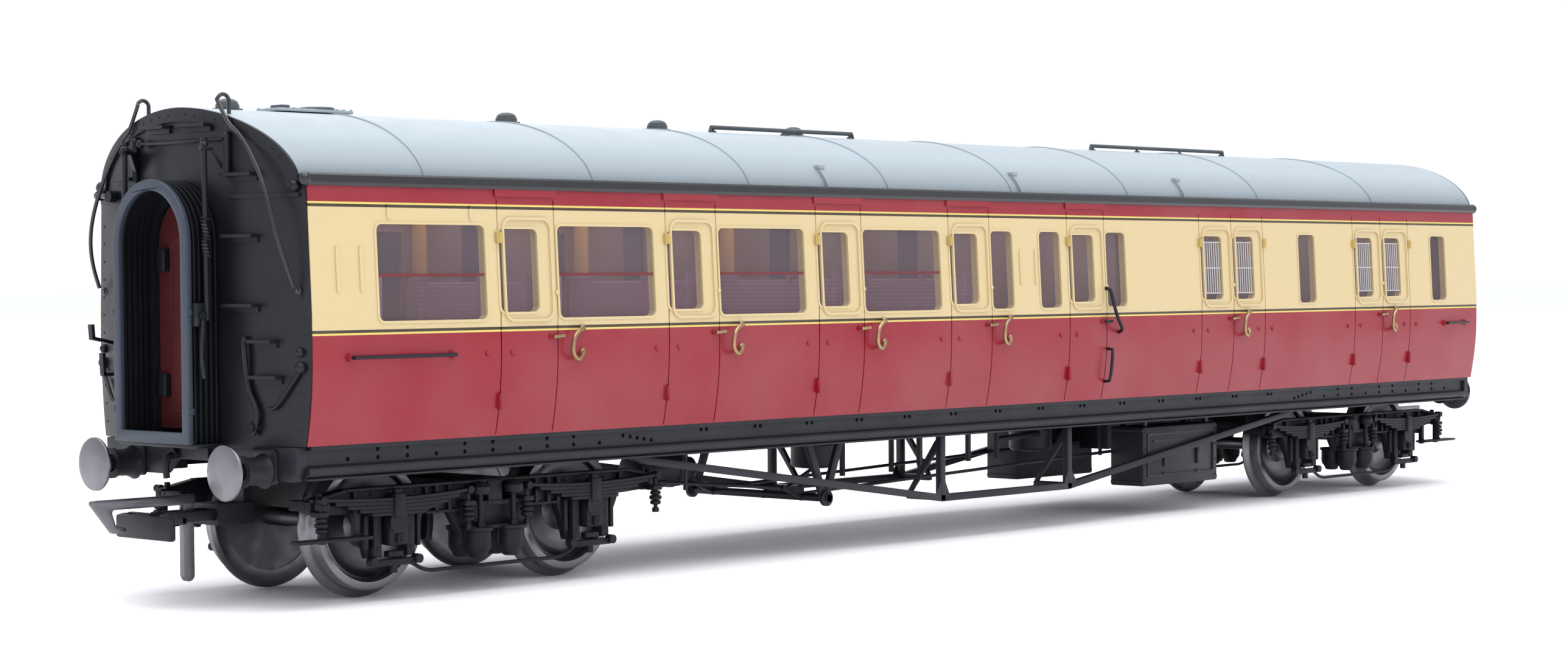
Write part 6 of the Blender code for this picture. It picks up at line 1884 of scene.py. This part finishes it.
class COACH_OT_couplings(Operator):
    """Couplings: the drawbar's pocket, the bumper on its two cheeks, and the flat hook with its dropper"""

    bl_idname = "coach.couplings"
    bl_label = "Couplings"

    def execute(self, context):
        for end, letter in ENDS:
            kept("coupling_plastic", f"coupling_slider_{letter}", f"coupling_drawbar_{letter}")
            self.head(end, letter)
            self.hook(end, letter)
        kept("wheel_steel", "ballast_weight")
        return {"FINISHED"}

    def head(self, end, letter):
        z = COUPLING_Z
        made = Shape()
        made.box((HEADSTOCK - 4.3, -1.6, z - 0.5), (HEADSTOCK - 1.6, 1.6, z + 0.5), 0.1)
        for side in SIDES:
            made.box((HEADSTOCK - 1.9, side * 0.85, z - 0.55), (HEADSTOCK + 4.9, side * 1.62, z + 0.55), 0.12)
            made.box((HEADSTOCK + 4.8, side * 0.85, z - 0.45), (HEADSTOCK + 5.5, side * 4.8, z + 0.42), 0.12)
            made.box((HEADSTOCK + 4.9, side * 4.0, z - 0.4), (HEADSTOCK + 6.4, side * 4.8, z + 0.35), 0.12)
        front = HEADSTOCK + 7.0
        made.box((front - 0.85, -4.8, z - 2.1), (front, 4.8, z + 0.3), 0.28)
        made.moved(at_end(end)).done(f"coupling_bumper_{letter}", "coupling_plastic", f"coupling_{letter}",
                                     replaces=[f"coupling_head_{letter}"])

    def hook(self, end, letter):
        z = COUPLING_Z
        x, tip, back = HEADSTOCK + 1.5, HEADSTOCK + 13.1, HEADSTOCK + 0.7
        low, high = z + 1.15, z + 2.2
        outline = arc(back + 0.35, high - 0.35, 0.35, 180, 90, 4)
        outline += arc(tip - 0.3, high - 0.3, 0.3, 90, -25, 5)
        outline += [(tip - 2.3, 8.25)] + arc(tip - 2.6, 8.35, 0.3, -40, -90,
                                             3) + arc(tip - 3.7, 8.35, 0.3, 270, 90, 5)
        outline += [(tip - 3.05, 8.7), (tip - 2.75, 8.95), (tip - 2.35, low - 0.3), (tip - 2.5, low)]
        outline += [(x + 0.65, low),
                    (x + 0.65, 3.1)] + arc(x, 3.15, 0.65, 0, -180, 8) + [(x - 0.65, low), (back, low)]
        made = Shape().plate([outline], "xz", -0.4, 0.4, 0.1)
        made.rod((x, -1.45, z), (x, 1.45, z), 0.38, 14)
        made.moved(at_end(end)).done(f"coupling_hook_plate_{letter}", "wheel_steel", f"coupling_hook_{letter}",
                                     replaces=[f"coupling_hook_{letter}"])


# ---- the stage ----
class COACH_OT_stage(Operator):
    """A white floor, soft lights and the camera"""

    bl_idname = "coach.stage"
    bl_label = "Stage"

    def execute(self, context):
        scene = context.scene
        scene.view_settings.view_transform = "Standard"
        floor = bpy.data.objects.new("floor", bpy.data.meshes.new("floor"))
        shape = bmesh.new()
        bmesh.ops.create_grid(shape, x_segments=2, y_segments=2, size=6)
        shape.to_mesh(floor.data)
        shape.free()
        scene.collection.objects.link(floor)
        paper = Shader("stage_paper")
        paper.link(paper.ranged(paper.noise(3, 2), 0.93, 0.95), paper.main.inputs["Base Color"])
        paper.set(roughness=0.9)
        floor.data.materials.append(paper.material)
        world = bpy.data.worlds.new("studio")
        world.use_nodes = True
        world.node_tree.nodes["Background"].inputs["Color"].default_value = (0.98, 1, 1.07, 1)
        world.node_tree.nodes["Background"].inputs["Strength"].default_value = 1.05
        scene.world = world
        self.light("top_light", (-0.1, -0.1, 0.9), (0, 0, 0.03), 1.2, 11)
        self.light("side_light", (-0.55, -0.95, 0.5), (0, 0, 0.03), 0.9, 1.6)
        self.light("end_light", (-1.0, 0.1, 0.35), (-0.1, 0, 0.03), 0.6, 0.2)
        self.light("back_light", (0.5, 0.95, 0.6), (0, 0, 0.03), 0.9, 1.5)
        self.light("inside_light", (0, -0.005, 0.0403), (0, -0.005, 0), 0.02, 0.009, 0.21)
        self.camera(scene)
        return {"FINISHED"}

    def light(self, name, place, target, size, power, length=None):
        lamp = bpy.data.lights.new(name, "AREA")
        lamp.shape = "RECTANGLE"
        lamp.size, lamp.size_y = length or size, size
        lamp.energy = power
        obj = bpy.data.objects.new(name, lamp)
        obj.location = place
        obj.rotation_euler = (Vector(target) - Vector(place)).to_track_quat("-Z", "Y").to_euler()
        bpy.context.scene.collection.objects.link(obj)

    def camera(self, scene):
        """Three-quarter view from the near left end, just above the buffers."""
        lens = bpy.data.cameras.new("camera")
        lens.lens = 65.02
        lens.sensor_width = 36
        lens.shift_x, lens.shift_y = 0.0054, 0.0209
        lens.clip_start, lens.clip_end = 0.01, 50
        camera = bpy.data.objects.new("camera", lens)
        yaw, pitch, roll = (math.radians(a) for a in (46.975, -1.695, -0.383))
        ahead = Vector((math.sin(yaw) * math.cos(pitch), math.cos(yaw) * math.cos(pitch), math.sin(pitch)))
        right = Vector((math.cos(yaw), -math.sin(yaw), 0))
        up = right.cross(ahead)
        right, up = (math.cos(roll) * right + math.sin(roll) * up, math.cos(roll) * up - math.sin(roll) * right)
        turn = Matrix((right, up, -ahead)).transposed().to_4x4()
        camera.matrix_world = Matrix.Translation(Vector((-289.127, -243.658, 33.467)) * MM) @ turn
        scene.collection.objects.link(camera)
        scene.camera = camera


class COACH_PT_panel(Panel):
    """The coach's pieces and their settings"""

    bl_label = "Coach"
    bl_idname = "COACH_PT_panel"
    bl_space_type = "VIEW_3D"
    bl_region_type = "UI"
    bl_category = "Coach"

    def draw(self, context):
        for group in (context.scene.coach_sizes, context.scene.coach_colours):
            column = self.layout.column(align=True)
            for item in group.bl_rna.properties:
                if item.identifier not in ("rna_type", "name"):
                    column.prop(group, item.identifier)
        for operator in PIECES:
            self.layout.operator(operator.bl_idname)


PIECES = (
    COACH_OT_stage, COACH_OT_sides, COACH_OT_ends, COACH_OT_roof, COACH_OT_glazing, COACH_OT_interior,
    COACH_OT_gangways, COACH_OT_handles, COACH_OT_end_rails, COACH_OT_underframe, COACH_OT_truss, COACH_OT_boxes,
    COACH_OT_brake_gear, COACH_OT_buffers, COACH_OT_bogies, COACH_OT_wheelsets, COACH_OT_couplings,
)
CLASSES = (CoachColours, CoachSizes, *PIECES, COACH_PT_panel)


def register():
    for cls in CLASSES:
        bpy.utils.register_class(cls)
    bpy.types.Scene.coach_colours = PointerProperty(type=CoachColours)
    bpy.types.Scene.coach_sizes = PointerProperty(type=CoachSizes)


def unregister():
    del bpy.types.Scene.coach_colours
    del bpy.types.Scene.coach_sizes
    for cls in reversed(CLASSES):
        bpy.utils.unregister_class(cls)


def main():
    register()
    for piece in PIECES:
        group, name = piece.bl_idname.split(".")
        getattr(getattr(bpy.ops, group), name)()
    bpy.context.view_layer.update()


if __name__ == "__main__":
    main()
